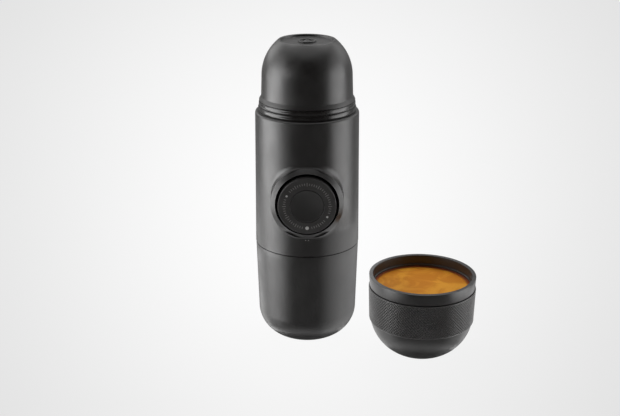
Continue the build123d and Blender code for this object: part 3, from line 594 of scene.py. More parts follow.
def crema():
    """Espresso crema: fine golden-brown foam in soft marbling, redder and darker where it meets the cup."""
    material, tree = new_material("espresso_crema")
    place = node(tree, "ShaderNodeTexCoord").outputs["Object"]
    off_axis = node(tree, "ShaderNodeMapping", {"Vector": place, "Location": tuple(-cup_place * MM)})
    centred = off_axis.outputs[0]
    swirl = node(
        tree,
        "ShaderNodeTexNoise",
        {
            "Vector": centred,
            "Scale": 1 / (MARBLING_SIZE * MM),
            "Detail": 4.0,
            "Roughness": 0.55,
            "Distortion": 0.8,
        },
    )
    marbled = node(
        tree,
        "ShaderNodeMapRange",
        {"Value": swirl.outputs["Fac"], "From Min": MARBLING_ENDS[0], "From Max": MARBLING_ENDS[1]},
        interpolation_type="SMOOTHSTEP",
    )
    foam = node(
        tree,
        "ShaderNodeMix",
        {0: marbled.outputs[0], 6: colour("#CA7E24"), 7: colour("#E09B32")},
        data_type="RGBA",
    )
    flat = node(tree, "ShaderNodeVectorMath", {0: centred, 1: (1, 1, 0)}, operation="MULTIPLY")
    reach = node(tree, "ShaderNodeVectorMath", {0: flat.outputs[0]}, operation="LENGTH")
    edge = node(
        tree,
        "ShaderNodeMapRange",
        {"Value": reach.outputs["Value"], "From Min": RING_ENDS[0] * MM, "From Max": RING_ENDS[1] * MM},
        interpolation_type="SMOOTHSTEP",
    )
    ringed = node(
        tree,
        "ShaderNodeMix",
        {0: edge.outputs[0], 6: foam.outputs[2], 7: colour("#7A3A1E")},
        data_type="RGBA",
    )
    bubbles = node(tree, "ShaderNodeTexVoronoi", {"Vector": centred, "Scale": 1 / (BUBBLE_SIZE * MM)})
    relief = node(
        tree,
        "ShaderNodeBump",
        {"Height": bubbles.outputs["Distance"], "Distance": BUBBLE_DEPTH * MM, "Strength": 0.6},
    )
    surface = node(
        tree,
        "ShaderNodeBsdfPrincipled",
        {
            "Base Color": ringed.outputs[2],
            "Roughness": 0.45,
            "IOR": 1.35,
            "Specular IOR Level": 0.12,
            "Normal": relief.outputs[0],
        },
    )
    node(tree, "ShaderNodeOutputMaterial", {"Surface": surface.outputs[0]})
    return material


SHELL = graphite_abs()
GLOSS = polished_abs()
KNOB = knob_abs()
DISC = disc_abs()
KNURL = knurl_abs()
INNER = plain_pp()
SILICONE = silicone_rubber()
STEEL = drawn_steel()
DIM_INK = pad_ink("ink_dark_grey", "#6E6C6A")
PALE_INK = pad_ink("ink_pale_grey", "#A8A7A5")
CREMA = crema()

SLOT_MATERIALS = {
    "shell_plastic": SHELL,
    "gloss_plastic": GLOSS,
    "knob_plastic": KNOB,
    "grip_plastic": KNURL,
    "inner_plastic": INNER,
    "silicone": SILICONE,
    "stainless_steel": STEEL,
}


def dress_cad_nodes():
    """Gives every carried-over CAD node the finish of the slot that the record names for it."""
    for part in frame["record"]["subparts"]:
        target = frame["nodes"][part["node"]].data.materials
        target.clear()
        target.append(SLOT_MATERIALS[part["material_slot"]])


# ---------------------------------------------------------------- water tank


def thread_ridges(core, low, high):
    """The ridges of a screw thread of several starts, between two heights on a core of this radius.

    A flat-topped tooth section is carried up a helix. Its height above the core swells from nothing
    over the first part of the ridge and shrinks again at the end.
    """
    climb = high - low - 2 * THREAD_WIDTH
    travel = np.linspace(0, 1, THREAD_STEPS)
    height = THREAD_DEPTH * np.clip(np.minimum(travel, 1 - travel) * THREAD_RUN_OUT, 0, 1)
    half, crest = THREAD_WIDTH / 2, THREAD_CREST / 2
    across = np.array([-half, -half, -crest, crest, half, half])
    out = np.array([-THREAD_SUNK, 0, 1, 1, 0, -THREAD_SUNK])
    radius = core + np.where(out > 0, height[:, None], out)
    rise = low + THREAD_WIDTH + travel[:, None] * climb + across
    ridges = []
    for start in range(THREAD_STARTS):
        angle = math.radians(THREAD_BEARING) + 2 * math.pi * start / THREAD_STARTS
        angle = angle + 2 * math.pi * travel[:, None] * climb / THREAD_LEAD
        points = np.stack([radius * np.cos(angle), radius * np.sin(angle), rise], axis=-1)
        ridges.append((points.transpose(1, 0, 2), True, False))
    return ridges


def water_tank():
    """The tank: a bevelled flat foot, an elliptical corner, a slightly flared wall and a threaded neck."""
    low_radius = tank_top_radius - TANK_DRAFT
    centre = low_radius - CORNER_WIDTH
    bevel = math.degrees(math.acos((FOOT_RADIUS + FOOT_EDGE_WIDTH - centre) / CORNER_WIDTH))
    neck_bore = NECK_RADIUS - NECK_WALL
    inside = shoulder_z - TANK_WALL
    slope = inside - (tank_top_radius - TANK_WALL - neck_bore)
    shell = outline(
        (0, 0),
        (FOOT_RADIUS, 0, FOOT_ROUNDING),
        arc((centre, CORNER_HEIGHT), (CORNER_WIDTH, CORNER_HEIGHT), -bevel, 0, count=48),
        (tank_top_radius, shoulder_z - SEAM_REBATE, SEAM_EDGE),
        (tank_top_radius - SEAM_DEPTH, shoulder_z - SEAM_REBATE),
        (tank_top_radius - SEAM_DEPTH, shoulder_z),
        (NECK_RADIUS, shoulder_z),
        (NECK_RADIUS, neck_top, SOFT_EDGE),
        (neck_bore, neck_top, SOFT_EDGE),
        (neck_bore, inside, NECK_ROOT_ROUNDING),
        (tank_top_radius - TANK_WALL, slope, SHOULDER_ROUNDING),
        arc((centre, CORNER_HEIGHT), (CORNER_WIDTH - TANK_WALL, CORNER_HEIGHT - TANK_FLOOR), 0, -90),
        (0, TANK_FLOOR),
    )
    thread = thread_ridges(NECK_RADIUS, shoulder_z + THREAD_CLEAR, neck_top)
    sheets = [turned(shell, closed=False)] + thread
    make_piece("tank_fine", sheets, SHELL, "tank", "shell_plastic", "tank_shell")


# ---------------------------------------------------------------- body


def main_body():
    """The body tube with its boss, closed all round.

    In front, rays run from a rectangle of the outer wall to the boss, up over it, down its bore and
    out again to a rectangle of the inner wall. On the wall a ray is a blend of the two outlines in
    the unrolled plane (angle and height), put back on the cone. The rest is plain turned wall.
    """
    window = WINDOW_COLUMNS * STEP
    low_z, high_z = body_z + SEAM_REBATE, body_top - LIP_HEIGHT
    even = np.arange(WINDOW_ROWS) / WINDOW_ROWS
    across = 1 - np.arange(2 * WINDOW_COLUMNS) / WINDOW_COLUMNS
    side = np.concatenate([np.ones(WINDOW_ROWS), across, -np.ones(WINDOW_ROWS), -across])
    up = np.concatenate([even, np.ones(2 * WINDOW_COLUMNS), 1 - even, np.zeros(2 * WINDOW_COLUMNS)])

    def cone(height):
        return body_radius - BODY_DRAFT * (height - low_z) / (high_z - low_z)

    def wall(angle, height, radius):
        points = [radius * np.sin(angle), -radius * np.cos(angle), height]
        return np.stack(np.broadcast_arrays(*points), axis=-1)

    def rays(inner_angle, inner_z, low, high, share, radius_at):
        angle = inner_angle + (side * window - inner_angle) * share
        height = inner_z + (low + up * (high - low) - inner_z) * share
        return wall(angle, height, radius_at(height))

    def out_of_wall(reach, distance):
        reach = reach + 0 * direction
        distance = distance + 0 * direction
        return np.stack([reach * np.cos(direction), -distance, pump_z + reach * np.sin(direction)], axis=-1)

    direction = np.arctan2(low_z + up * (high_z - low_z) - pump_z, side * window * body_radius)

    # The blend at the boss's root is a circle that touches the wall and the boss's side.
    # It widens towards the diagonals.
    blend_radius = BOSS_BLEND + (BOSS_DIAGONAL_BLEND - BOSS_BLEND) * np.sin(2 * direction) ** 2
    front = cone(pump_z)
    root = math.sqrt(front**2 - (BOSS_RADIUS + BOSS_DRAFT) ** 2) - BODY_WALL / 2
    bevel = boss_front - BOSS_BEVEL
    draft = BOSS_DRAFT / (bevel - root)
    lean = math.hypot(1, draft)
    reach = np.linspace(BOSS_RADIUS, BOSS_RADIUS + BLEND_SEARCH, BLEND_SAMPLES)[:, None]
    depth = np.sqrt(cone(pump_z + reach * np.sin(direction)) ** 2 - (reach * np.cos(direction)) ** 2)
    slope = np.gradient(depth, reach[:, 0], axis=0)
    tilt = np.hypot(1, slope)
    centre_reach = reach - blend_radius * slope / tilt
    centre_depth = depth + blend_radius / tilt
    clear = (centre_reach - BOSS_RADIUS - draft * (bevel - centre_depth)) / lean - blend_radius
    hit = np.argmax(clear >= 0, axis=0)
    ray = np.arange(len(direction))
    part = -clear[hit - 1, ray] / (clear[hit, ray] - clear[hit - 1, ray])

    def at_hit(values):
        values = np.broadcast_to(values, clear.shape)
        return values[hit - 1, ray] + part * (values[hit, ray] - values[hit - 1, ray])

    touch = np.stack([at_hit(reach), at_hit(depth)])
    centre = np.stack([at_hit(centre_reach), at_hit(centre_depth)])
    outwards = np.array([[1.0], [draft]]) / lean
    first = touch - centre
    last = -blend_radius * outwards
    sweep = np.arccos(np.clip((first * last).sum(axis=0) / blend_radius**2, -1, 1))
    share = np.linspace(0, 1, BLEND_ROWS)[:, None, None]
    blend = centre + (np.sin((1 - share) * sweep) * first + np.sin(share * sweep) * last) / np.sin(sweep)

    touch_z = pump_z + touch[0] * np.sin(direction)
    touch_angle = np.arcsin(touch[0] * np.cos(direction) / cone(touch_z))
    outer_share = (np.linspace(1, 0, OUTER_ROWS) ** OUTER_CROWDING)[:, None]
    rows = [rays(touch_angle, touch_z, low_z, high_z, outer_share, cone)]
    rows += [out_of_wall(*row)[None] for row in blend[1:]]

    bezel_bore = knob_bore + BEZEL_WALL
    mouth = [
        *[(BOSS_RADIUS + out, bevel + ahead) for out, ahead in BEVEL_EASE],
        (bezel_bore + MOUTH_EDGE + MOUTH_LIP, boss_front - MOUTH_LIP),
        (bezel_bore + MOUTH_EDGE, boss_front),
        *arc((bezel_bore + MOUTH_EDGE, boss_front - MOUTH_EDGE), (MOUTH_EDGE, MOUTH_EDGE), 90, 180, count=5),
        (bezel_bore, boss_front - BEZEL_DEPTH),
        (knob_bore, boss_front - BEZEL_DEPTH),
        (knob_bore, sleeve_back),
        (BOSS_RADIUS, sleeve_back),
    ]
    rows += [out_of_wall(*row)[None] for row in mouth]

    inner_z = pump_z + BOSS_RADIUS * np.sin(direction)
    inner_angle = np.arcsin(BOSS_RADIUS * np.cos(direction) / bore_radius)
    inner_share = np.linspace(0, 1, INNER_ROWS)[:, None]
    rows.append(rays(inner_angle, inner_z, body_z, body_top, inner_share, lambda height: bore_radius))

    upwards = np.linspace(low_z, high_z, WINDOW_ROWS + 1)[:, None]
    round_back = np.linspace(window, 2 * math.pi - window, COLUMNS - 2 * WINDOW_COLUMNS + 1)
    back_outside = wall(round_back, upwards, cone(upwards))
    downwards = np.linspace(body_top, body_z, WINDOW_ROWS + 1)[:, None]
    back_inside = wall(round_back, downwards, bore_radius)
    lower_edge = np.array(
        [
            (bore_radius, body_z),
            (body_radius - SEAM_DEPTH, body_z),
            (body_radius - SEAM_DEPTH, low_z),
            (body_radius - SEAM_EDGE, low_z),
            (body_radius, low_z + SEAM_EDGE),
        ]
    )
    lip_centre = (body_radius - BODY_DRAFT - LIP_WIDTH, high_z)
    lip = np.vstack([arc(lip_centre, (LIP_WIDTH, LIP_HEIGHT), 0, 90, count=12), [(bore_radius, body_top)]])
    sheets = [
        (np.concatenate(rows), False, True),
        (back_outside, False, False),
        (back_inside, False, False),
        turned(lower_edge, closed=False),
        turned(lip, closed=False),
    ]
    make_piece("body_fine", sheets, SHELL, "main_body", "shell_plastic", "body_shell")


def bezel_ring():
    """The guide ring in the boss's mouth, with a rounded front edge that catches the light."""
    low, high = span("knob_bezel")
    back, front = -high[1], -low[1]
    outer = knob_bore + BEZEL_WALL
    profile = outline(
        (knob_bore, back),
        (outer, back),
        (outer, front, BEZEL_ROUNDING),
        (knob_bore, front, SOFT_EDGE),
        closed=True,
    )
    ring = on_pump_axis(turned(profile))
    make_piece("bezel_fine", [ring], GLOSS, "main_body", "gloss_plastic", "knob_bezel")


def neck_collar():
    """The collar's two rounded beads, one above the other, each an arc between its grooves."""
    low_z, high_z = collar_low[2], collar_high[2]
    crest = collar_high[0]
    bead = (high_z - low_z - COLLAR_FOOT) / 2
    first, second = low_z + COLLAR_FOOT, low_z + COLLAR_FOOT + bead
    low_root = crest - COLLAR_GROOVE
    top_root = low_root - COLLAR_STEP
    profile = outline(
        (SPIGOT_RADIUS, low_z),
        (low_root, low_z),
        bowed((low_root, first), (low_root, second), COLLAR_GROOVE, count=14),
        bowed((top_root, second), (top_root, high_z), COLLAR_GROOVE, count=14),
        (SPIGOT_RADIUS, high_z),
        closed=True,
    )
    make_piece("collar_fine", [turned(profile)], GLOSS, "main_body", "gloss_plastic", "neck_collar")


def body_dots():
    """Two tiny printed dots on the body under the knob, which show where the knob's lock mark goes."""
    front = body_radius - BODY_DRAFT * (pump_z - DOT_DROP - body_z) / (body_top - body_z)
    profile = outline(
        (0, -DOT_SUNK),
        (DOT_RADIUS, -DOT_SUNK),
        (DOT_RADIUS, DOT_PROUD, DOT_ROUNDING),
        (0, DOT_PROUD),
    )
    dot = on_pump_axis(turned(profile, closed=False, columns=20))
    sheets = [moved(dot, (side * DOT_SPACING / 2, -front, -DOT_DROP)) for side in (-1, 1)]
    make_piece("body_dots", sheets, PALE_INK, "main_body", "gloss_plastic")


# ---------------------------------------------------------------- pump knob


def pump_knob():
    """The knob: a deep cap with rounded face, a seat for its disc and a hub that turns on the rod."""
    inside = knob_face - KNOB_FACE
    hub_back = inside - HUB_LENGTH + KNOB_FACE
    recess = knob_face - SCREW_RECESS_DEPTH
    skirt = knob_radius - KNOB_WALL
    profile = outline(
        (skirt, knob_back),
        (knob_radius, knob_back, SOFT_EDGE),
        (knob_radius, knob_face, KNOB_ROUNDING),
        (disc_radius + DISC_GAP, knob_face, EASED_EDGE),
        (disc_radius + DISC_GAP, disc_back),
        (SCREW_RECESS, disc_back),
        (SCREW_RECESS, recess),
        (HUB_BORE, recess),
        (HUB_BORE, hub_back),
        (HUB_RADIUS, hub_back),
        (HUB_RADIUS, inside),
        (skirt, inside),
        closed=True,
        steps=9,
    )
    make_piece("knob_fine", [on_pump_axis(turned(profile))], KNOB, "knob", "knob_plastic", "pump_knob")


def knob_disc():
    """The thumb disc: a shallow spherical dish inside a rounded edge."""
    edge = disc_radius - DISC_GAP
    half = disc_radius - DISC_EDGE
    radius = (half**2 + DISC_DISH**2) / (2 * DISC_DISH)
    reach = np.linspace(half, 0, DISC_STEPS)
    dish = np.column_stack([reach, disc_front - DISC_DISH + radius - np.sqrt(radius**2 - reach**2)])
    profile = outline((0, disc_back), (edge, disc_back), (edge, disc_front, CRISP_EDGE), dish)
    disc = on_pump_axis(turned(profile, closed=False))
    make_piece("disc_fine", [disc], DISC, "knob", "knob_plastic", "knob_disc")


def knob_marks():
    """Plain ticks printed round the knob's face: at each angle a thin slab, longer at every fifth.

    A slab's corners are its angle's own direction times the inner or outer radius, and half the
    width to either side of it.
    """
    number = np.arange(TICK_COUNT)
    bearing = number * 360 / TICK_COUNT - 90
    off_dots = np.abs((bearing[:, None] - np.array(KNOB_DOTS)[:, 0] + 180) % 360 - 180).min(axis=1)
    number, bearing = number[off_dots > TICK_CLEAR], np.radians(bearing[off_dots > TICK_CLEAR])
    half = np.where(number % TICK_LONG_EVERY == 0, TICK_LONG, TICK_SHORT) / 2
    inner, outer = TICK_RADIUS - half, TICK_RADIUS + half
    along = np.stack([np.cos(bearing), np.sin(bearing)], axis=-1)[:, None, :]
    across = np.stack([-np.sin(bearing), np.cos(bearing)], axis=-1)[:, None, :]
    reach = np.stack([inner, outer, outer, inner], axis=-1)[..., None]
    side = np.array([-1, -1, 1, 1])[None, :, None] * TICK_WIDTH / 2
    flat = along * reach + across * side
    slab = np.stack([flat, flat], axis=1)
    level = np.array([knob_face - INK_SUNK, knob_face + INK_PROUD])[None, :, None] + 0 * slab[..., 0]
    points = np.stack([slab[..., 0], -level, pump_z + slab[..., 1]], axis=-1).reshape(-1, 3)
    box = np.array([(3, 2, 1, 0), (4, 5, 6, 7), (0, 1, 5, 4), (1, 2, 6, 5), (2, 3, 7, 6), (3, 0, 4, 7)])
    faces = (np.arange(len(number))[:, None, None] * 8 + box).reshape(-1, 4)
    finish_piece("knob_ticks", points, faces, DIM_INK, "knob", "knob_plastic")


def knob_dots():
    """The lock mark at the knob's foot and two small dots among its ticks, each a thin printed disc."""
    low, high = knob_face - INK_SUNK, knob_face + INK_PROUD
    sheets = []
    for bearing, radius in KNOB_DOTS:
        profile = outline((0, low), (radius, low), (radius, high), (0, high))
        dot = on_pump_axis(turned(profile, closed=False, columns=32))
        angle = math.radians(bearing)
        sheets.append(moved(dot, (TICK_RADIUS * math.cos(angle), 0, TICK_RADIUS * math.sin(angle))))
    make_piece("knob_dots", sheets, PALE_INK, "knob", "knob_plastic")


# ---------------------------------------------------------------- outlet head


def outlet_head():
    """The domed cap: flared edge, nearly straight side, round dome cut off flat, and a thin raised rim."""
    low_z, top = head_low[2], head_high[2]
    flare = head_high[0]
    side = flare - HEAD_FLARE_WIDTH
    shoulder = side - HEAD_DRAFT
    bore = side - HEAD_WALL
    nozzle_top = nozzle_low[2] + NOZZLE_FLANGE
    dome_z = nozzle_top + HEAD_SPARE
    narrowing = shoulder - HEAD_RIM_RADIUS
    dome = (narrowing**2 + (top - dome_z) ** 2) / (2 * narrowing)
    centre = (shoulder - dome, dome_z)
    reach = math.degrees(math.asin((top - dome_z) / dome))
    deck = top - HEAD_RECESS_DEPTH
    roof = deck - HEAD_DECK
    inner = dome - HEAD_WALL
    inner_reach = math.degrees(math.asin((roof - dome_z) / inner))
    rim_inside = HEAD_RIM_RADIUS - HEAD_RIM_WIDTH
    profile = outline(
        (bore, low_z),
        (flare, low_z, HEAD_FLARE_EDGE),
        (side, low_z + HEAD_FLARE_HEIGHT, HEAD_FLARE_ROOT),
        arc(centre, (dome, dome), 0, reach, count=48)[:-1],
        (HEAD_RIM_RADIUS, top, EASED_EDGE),
        (rim_inside, top, SOFT_EDGE),
        (rim_inside - HEAD_RECESS_SLOPE, deck, CRISP_EDGE),
        (NOZZLE_RADIUS, deck),
        (NOZZLE_RADIUS, roof),
        arc(centre, (inner, inner), inner_reach, 0),
        (bore, nozzle_top),
        closed=True,
        steps=6,
    )
    make_piece("head_fine", [turned(profile)], SHELL, "head", "shell_plastic", "outlet_head")


def outlet_nozzle():
    """The funnel under the dome, and its spout's low rim on the deck, dished round a small tip."""
    low_z = nozzle_low[2]
    bore = nozzle_high[0]
    flange_top = low_z + NOZZLE_FLANGE
    deck = head_high[2] - HEAD_RECESS_DEPTH
    rim = deck + NOZZLE_PROUD
    well = rim - NOZZLE_WELL
    tip = well + NOZZLE_TIP_HEIGHT
    spout = NOZZLE_RADIUS - NOZZLE_GAP
    dish = NOZZLE_RADIUS - NOZZLE_RIM_WIDTH
    inside = NOZZLE_RADIUS - NOZZLE_WALL
    profile = outline(
        (NOZZLE_BORE_RADIUS, tip),
        (NOZZLE_BORE_RADIUS, well - NOZZLE_WALL),
        (inside, well - NOZZLE_WALL),
        (inside, low_z + NOZZLE_FUNNEL_DEPTH),
        (NOZZLE_FUNNEL_RADIUS, low_z),
        (bore, low_z),
        (bore, flange_top),
        (spout, flange_top),
        (spout, rim, CRISP_EDGE),
        (dish, rim, CRISP_EDGE),
        (dish, well, CRISP_EDGE),
        (NOZZLE_TIP_RADIUS, well, SOFT_EDGE),
        (NOZZLE_TIP_TOP_RADIUS, tip, EASED_EDGE),
        closed=True,
        steps=6,
    )
    make_piece("nozzle_fine", [turned(profile, columns=128)], SHELL, "head", "shell_plastic", "outlet_nozzle")


# ---------------------------------------------------------------- cup


def cup_inside():
    """The cup's inner outline from its floor to its rim, which the espresso follows too."""
    ledge = cup_height - LEDGE_DEPTH
    bowl = bowed((CUP_FOOT_RADIUS, CUP_FLOOR), (cup_core - CUP_WALL, grip_z), CUP_BOWL_BULGE)
    return bowl, ledge


def cup_shell():
    """The cup: bevelled foot, bowed bowl, the seat of the grip band, a shadow groove and a plain rim."""
    bowl, ledge = cup_inside()
    foot_edge = (CUP_FOOT_RADIUS + CUP_FOOT_EDGE_WIDTH, CUP_FOOT_EDGE)
    groove_top = grip_top + RIM_GROOVE
    profile = outline(
        (0, 0),
        (CUP_FOOT_RADIUS, 0, SOFT_EDGE),
        bowed(foot_edge, (bowl_radius, grip_z), CUP_BOWL_BULGE, count=32),
        (cup_core, grip_z),
        (cup_core, groove_top),
        (rim_base_radius, groove_top, EASED_EDGE),
        (rim_radius, cup_height, SOFT_EDGE),
        (cup_bore, cup_height, SOFT_EDGE),
        (cup_bore, ledge),
        (cup_bore - LEDGE_WIDTH, ledge, EASED_EDGE),
        (cup_bore - LEDGE_WIDTH, ledge - LEDGE_WIDTH, CRISP_EDGE),
        bowl[::-1],
        (0, CUP_FLOOR),
    )
    sheets = [turned(profile, closed=False)]
    for lug in range(LUG_COUNT):
        sheets.append(cup_lug(90 + lug * 360 / LUG_COUNT))
    sheets = [moved(sheet, cup_place) for sheet in sheets]
    make_piece("cup_fine", sheets, SHELL, "cup", "shell_plastic", "cup_shell")


def cup_lug(middle):
    """A low lug inside the rim: a rounded bar swept along the bore, fading into it at both ends."""
    angle = np.radians(middle + np.linspace(-LUG_ANGLE, LUG_ANGLE, LUG_STEPS) / 2)
    fade = np.clip((1 - np.abs(np.linspace(-1, 1, LUG_STEPS))) * LUG_FADE, 0, 1)
    low = cup_height - LUG_DROP - LUG_HEIGHT
    section = np.array([(-0.5, 0), (0.6, 0.1), (1.0, 0.3), (1.0, 0.7), (0.6, 0.9), (-0.5, 1)])
    radius = cup_bore - LUG_DEPTH * np.where(section[:, :1] > 0, section[:, :1] * fade, section[:, :1])
    height = low + LUG_HEIGHT * section[:, 1:]
    points = np.stack([radius * np.sin(angle), -radius * np.cos(angle), height + 0 * angle], axis=-1)
    return points[::-1], True, False


def cup_grip():
    """The knurled band: flat-topped diamonds between crossing V grooves, and two smooth edges.

    Grid points lie a sixth of a diamond apart both ways. A point is on a groove's bottom where its
    column plus its row, or its column less its row, is a whole number of diamonds, and else at full
    height. Each cell is split along its groove, or along the edge of its flat top.
    """
    columns = KNURL_STEPS * KNURL_COUNT
    step = 2 * math.pi * grip_top_radius / columns
    low, high = grip_z + GRIP_BEVEL, grip_top - GRIP_BEVEL / 2
    rows = int((high - low - GRIP_EDGE_LOW - GRIP_EDGE_HIGH) / step) + 1
    level = np.linspace(low + GRIP_EDGE_LOW, high - GRIP_EDGE_HIGH, rows)
    radius = grip_low_radius + GRIP_DRAFT * (level - low) / (high - low)
    row, column = np.arange(rows)[:, None], np.arange(columns)
    groove = ((column + row) % KNURL_STEPS == 0) | ((column - row) % KNURL_STEPS == 0)
    lattice = radius[:, None] - KNURL_DEPTH * groove
    below = np.array(
        [
            (cup_core, grip_z),
            (grip_low_radius - GRIP_BEVEL, grip_z),
            (grip_low_radius - GRIP_INSET, low),
            (grip_low_radius - GRIP_INSET, low + 2 * GRIP_INSET),
        ]
    )
    above = np.array(
        [
            (grip_top_radius - GRIP_INSET, high - GRIP_INSET),
            (grip_top_radius - GRIP_INSET, high),
            (grip_top_radius - GRIP_BEVEL / 2, grip_top),
            (cup_core, grip_top),
        ]
    )
    round_all = np.zeros(columns)
    reach = np.vstack([below[:, :1] + round_all, lattice, above[:, :1] + round_all])
    height = np.concatenate([below[:, 1], level, above[:, 1]])[:, None]
    angle = column * 2 * math.pi / columns
    points = np.stack([reach * np.sin(angle), -reach * np.cos(angle), height + 0 * angle], axis=-1)
    corners = cells(len(height), columns, True, True)
    cell_row = np.arange(len(height)).repeat(columns) - len(below)
    cell_column = np.tile(column, len(height))
    sum_next, less = cell_row + cell_column + 1, cell_column - cell_row
    straight = (less % KNURL_STEPS == 0) | ((less % 2 == 1) & (sum_next % KNURL_STEPS != 0))
    first = np.where(straight[:, None], corners[:, [0, 1, 2]], corners[:, [0, 1, 3]])
    second = np.where(straight[:, None], corners[:, [0, 2, 3]], corners[:, [1, 2, 3]])
    faces = np.concatenate([first, second])
    points = points.reshape(-1, 3) + cup_place
    finish_piece("grip_fine", points, faces, KNURL, "cup", "grip_plastic", "cup_grip", crease=KNURL_CREASE)


def espresso():
    """The drink: it fills the cup's inside, and its crema climbs where it meets the wall.

    The crema stands above its level by the climb times e to the power of minus the distance from
    the wall over the climb's width.
    """
    bowl, ledge = cup_inside()
    level = cup_height - CREMA_DROP
    climb = (level - grip_z) / (ledge - LEDGE_WIDTH - grip_z)
    wall = (cup_core - CUP_WALL) + (cup_bore - LEDGE_WIDTH - cup_core + CUP_WALL) * climb - CREMA_GAP
    reach = np.linspace(wall, 0, CREMA_STEPS)
    surface = np.column_stack([reach, level + CREMA_CLIMB * np.exp((reach - wall) / CREMA_CLIMB_WIDTH)])
    body = bowl - np.array([DRINK_GAP, -DRINK_GAP])
    profile = outline((0, CUP_FLOOR + DRINK_GAP), body, surface)
    drink = moved(turned(profile, closed=False), cup_place)
    make_piece("espresso", [drink], CREMA, "cup", "gloss_plastic")


# ---------------------------------------------------------------- springs


def coil(radius, wire, turns, low, high):
    """A round wire carried up a helix between two heights, thinned to a point at each end.

    A ring of points round the wire lies along the helix's radius and along the line that stands
    square to both the radius and the wire. Near an end the wire's radius shrinks with the root of
    the distance that is left.
    """
    length = high - low - 2 * wire
    travel = np.linspace(0, 1, turns * COIL_STEPS)[:, None]
    angle = 2 * math.pi * turns * travel
    pitch = math.atan2(length, 2 * math.pi * turns * radius)
    around = np.linspace(0, 2 * math.pi, COIL_SIDES, endpoint=False)
    thick = wire * np.sqrt(np.clip(np.minimum(travel, 1 - travel) * turns * COIL_POINT, 0, 1))
    out, along = thick * np.cos(around), thick * np.sin(around)
    x = (radius + out) * np.cos(angle) + along * math.sin(pitch) * np.sin(angle)
    y = (radius + out) * np.sin(angle) - along * math.sin(pitch) * np.cos(angle)
    z = low + wire + length * travel + along * math.cos(pitch)
    return np.stack([x, y, z], axis=-1), False, True


def pump_spring():
    """The knob's coil spring, pressed between the pump's flange and the knob."""
    radius = span("pump_spring")[1][0] - SPRING_WIRE
    sheet = on_pump_axis(coil(radius, SPRING_WIRE, SPRING_TURNS, sleeve_back, spring_front))
    piece = make_piece("spring_fine", [sheet], STEEL, None, "stainless_steel", "pump_spring")
    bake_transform(piece)


def valve_spring(name, stands_for):
    """A valve's coil spring over the ball that lifts into it; it is hung on no body here."""
    low, high = span(stands_for)
    place = (low + high) / 2 * (1, 1, 0)
    wire = VALVE_SPRING_WIRE
    sheet = moved(coil(high[0] - wire, wire, VALVE_SPRING_TURNS, low[2], high[2]), place)
    piece = make_piece(name, [sheet], STEEL, None, "stainless_steel", stands_for)
    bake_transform(piece)


# ---------------------------------------------------------------- stage, light and camera

TABLE_REACH = 4000
# These shape the painted pool of light on the table: its white is painted to dim off the middle and far away.
FAN_POINT = 673  # in front of the machine, where the depth would be none
FAN_FRONT = 400  # the depth stays as it is beyond these two
FAN_REAR = 2000
FADE_CENTRE = 1.135  # one over the depth, in metres
FADE_STEEPNESS = (3.4, 0.9)
GLOW_SHARE = 0.97
POLISH_SHARE = (0.88, 1.0)  # near the machine and away from it
POLISH_REACH = (110, 320)
SCREEN_DISTANCE = 1400
SCREEN_COLUMNS = 40
SCREEN_FOOT = 1
CLOTH_BEARINGS = (-75, 85)
CLOTH_HEIGHT = 2000
CARD_BEARINGS = (85, 285)
CARD_HEIGHT = 1600
# The grey card glows and only reflections see it: levels of its painted glow up its height, (place from 0 to
# 1, level).
CARD_GLOW_STOPS = ((0.15, 0.28), (0.65, 0.15), (0.28, 0.5), (0.4, 0.3))
# The two cards between machine and cup glow and only reflections see them: they paint highlights where each
# would reflect the other.
HIGHLIGHT_CARD_HEIGHT = 68
HIGHLIGHT_CARD_ENDS = (-34, 40)
TO_MACHINE_STOPS = ((0.0, 0.12), (1.0, 0.15), (0.2, 0.6), (0.33, 0.85), (0.55, 0.55))
TO_CUP_STOPS = ((0.0, 0.55), (1.0, 0.5))
SOFTBOX_DISTANCE = 900
SOFTBOXES = [  # name, bearing, width, height of the lower and the upper edge, and radiance
    ("softbox_left_low", -89, 800, 2, 200, 5.6),
    ("softbox_left", -79, 720, 200, 400, 5.5),
    ("softbox_left_front", -52, 260, 200, 400, 3.2),
    ("softbox_left_upper", -86, 700, 400, 900, 1.3),
    ("softbox_left_rear", -130, 640, 260, 850, 1.8),
    ("softbox_right", 82, 760, 2, 400, 3.5),
    ("softbox_right_upper", 88, 600, 400, 900, 0.9),
    ("softbox_right_rear", 126, 600, 330, 850, 1.3),
]
TOP_WIDTH = 1400
TOP_DEPTH = 900
TOP_PLACE = (0, 600, 1200)
TOP_AIM = 100  # height of the point on the machine's axis that the top lamp faces
TOP_RADIANCE = 3.0
FILL = 0.1
SURROUND = 0.95
PICTURE_WIDTH = 620
FOCAL_PIXELS = 1150.0
CAMERA_PITCH = 19.8
CAMERA_PLACE = (1.56, -609.5, 295.0)


def seen_rays(tree, rays):
    """One for rays that the eye, a reflection or a clear material sends out, and zero for all others."""
    straight, reflected = rays["Is Camera Ray"], rays["Is Glossy Ray"]
    eye = node(tree, "ShaderNodeMath", {0: straight, 1: reflected}, operation="MAXIMUM").outputs[0]
    clear = rays["Is Transmission Ray"]
    return node(tree, "ShaderNodeMath", {0: eye, 1: clear}, operation="MAXIMUM").outputs[0]


def add_stage(name, points, faces, material):
    """A mesh that belongs to the set and not to the object."""
    mesh = bpy.data.meshes.new(name)
    mesh.from_pydata((np.array(points, float) * MM).tolist(), [], np.array(faces).tolist())
    mesh.materials.append(material)
    piece = bpy.data.objects.new(name, mesh)
    bpy.context.scene.collection.objects.link(piece)
    return piece


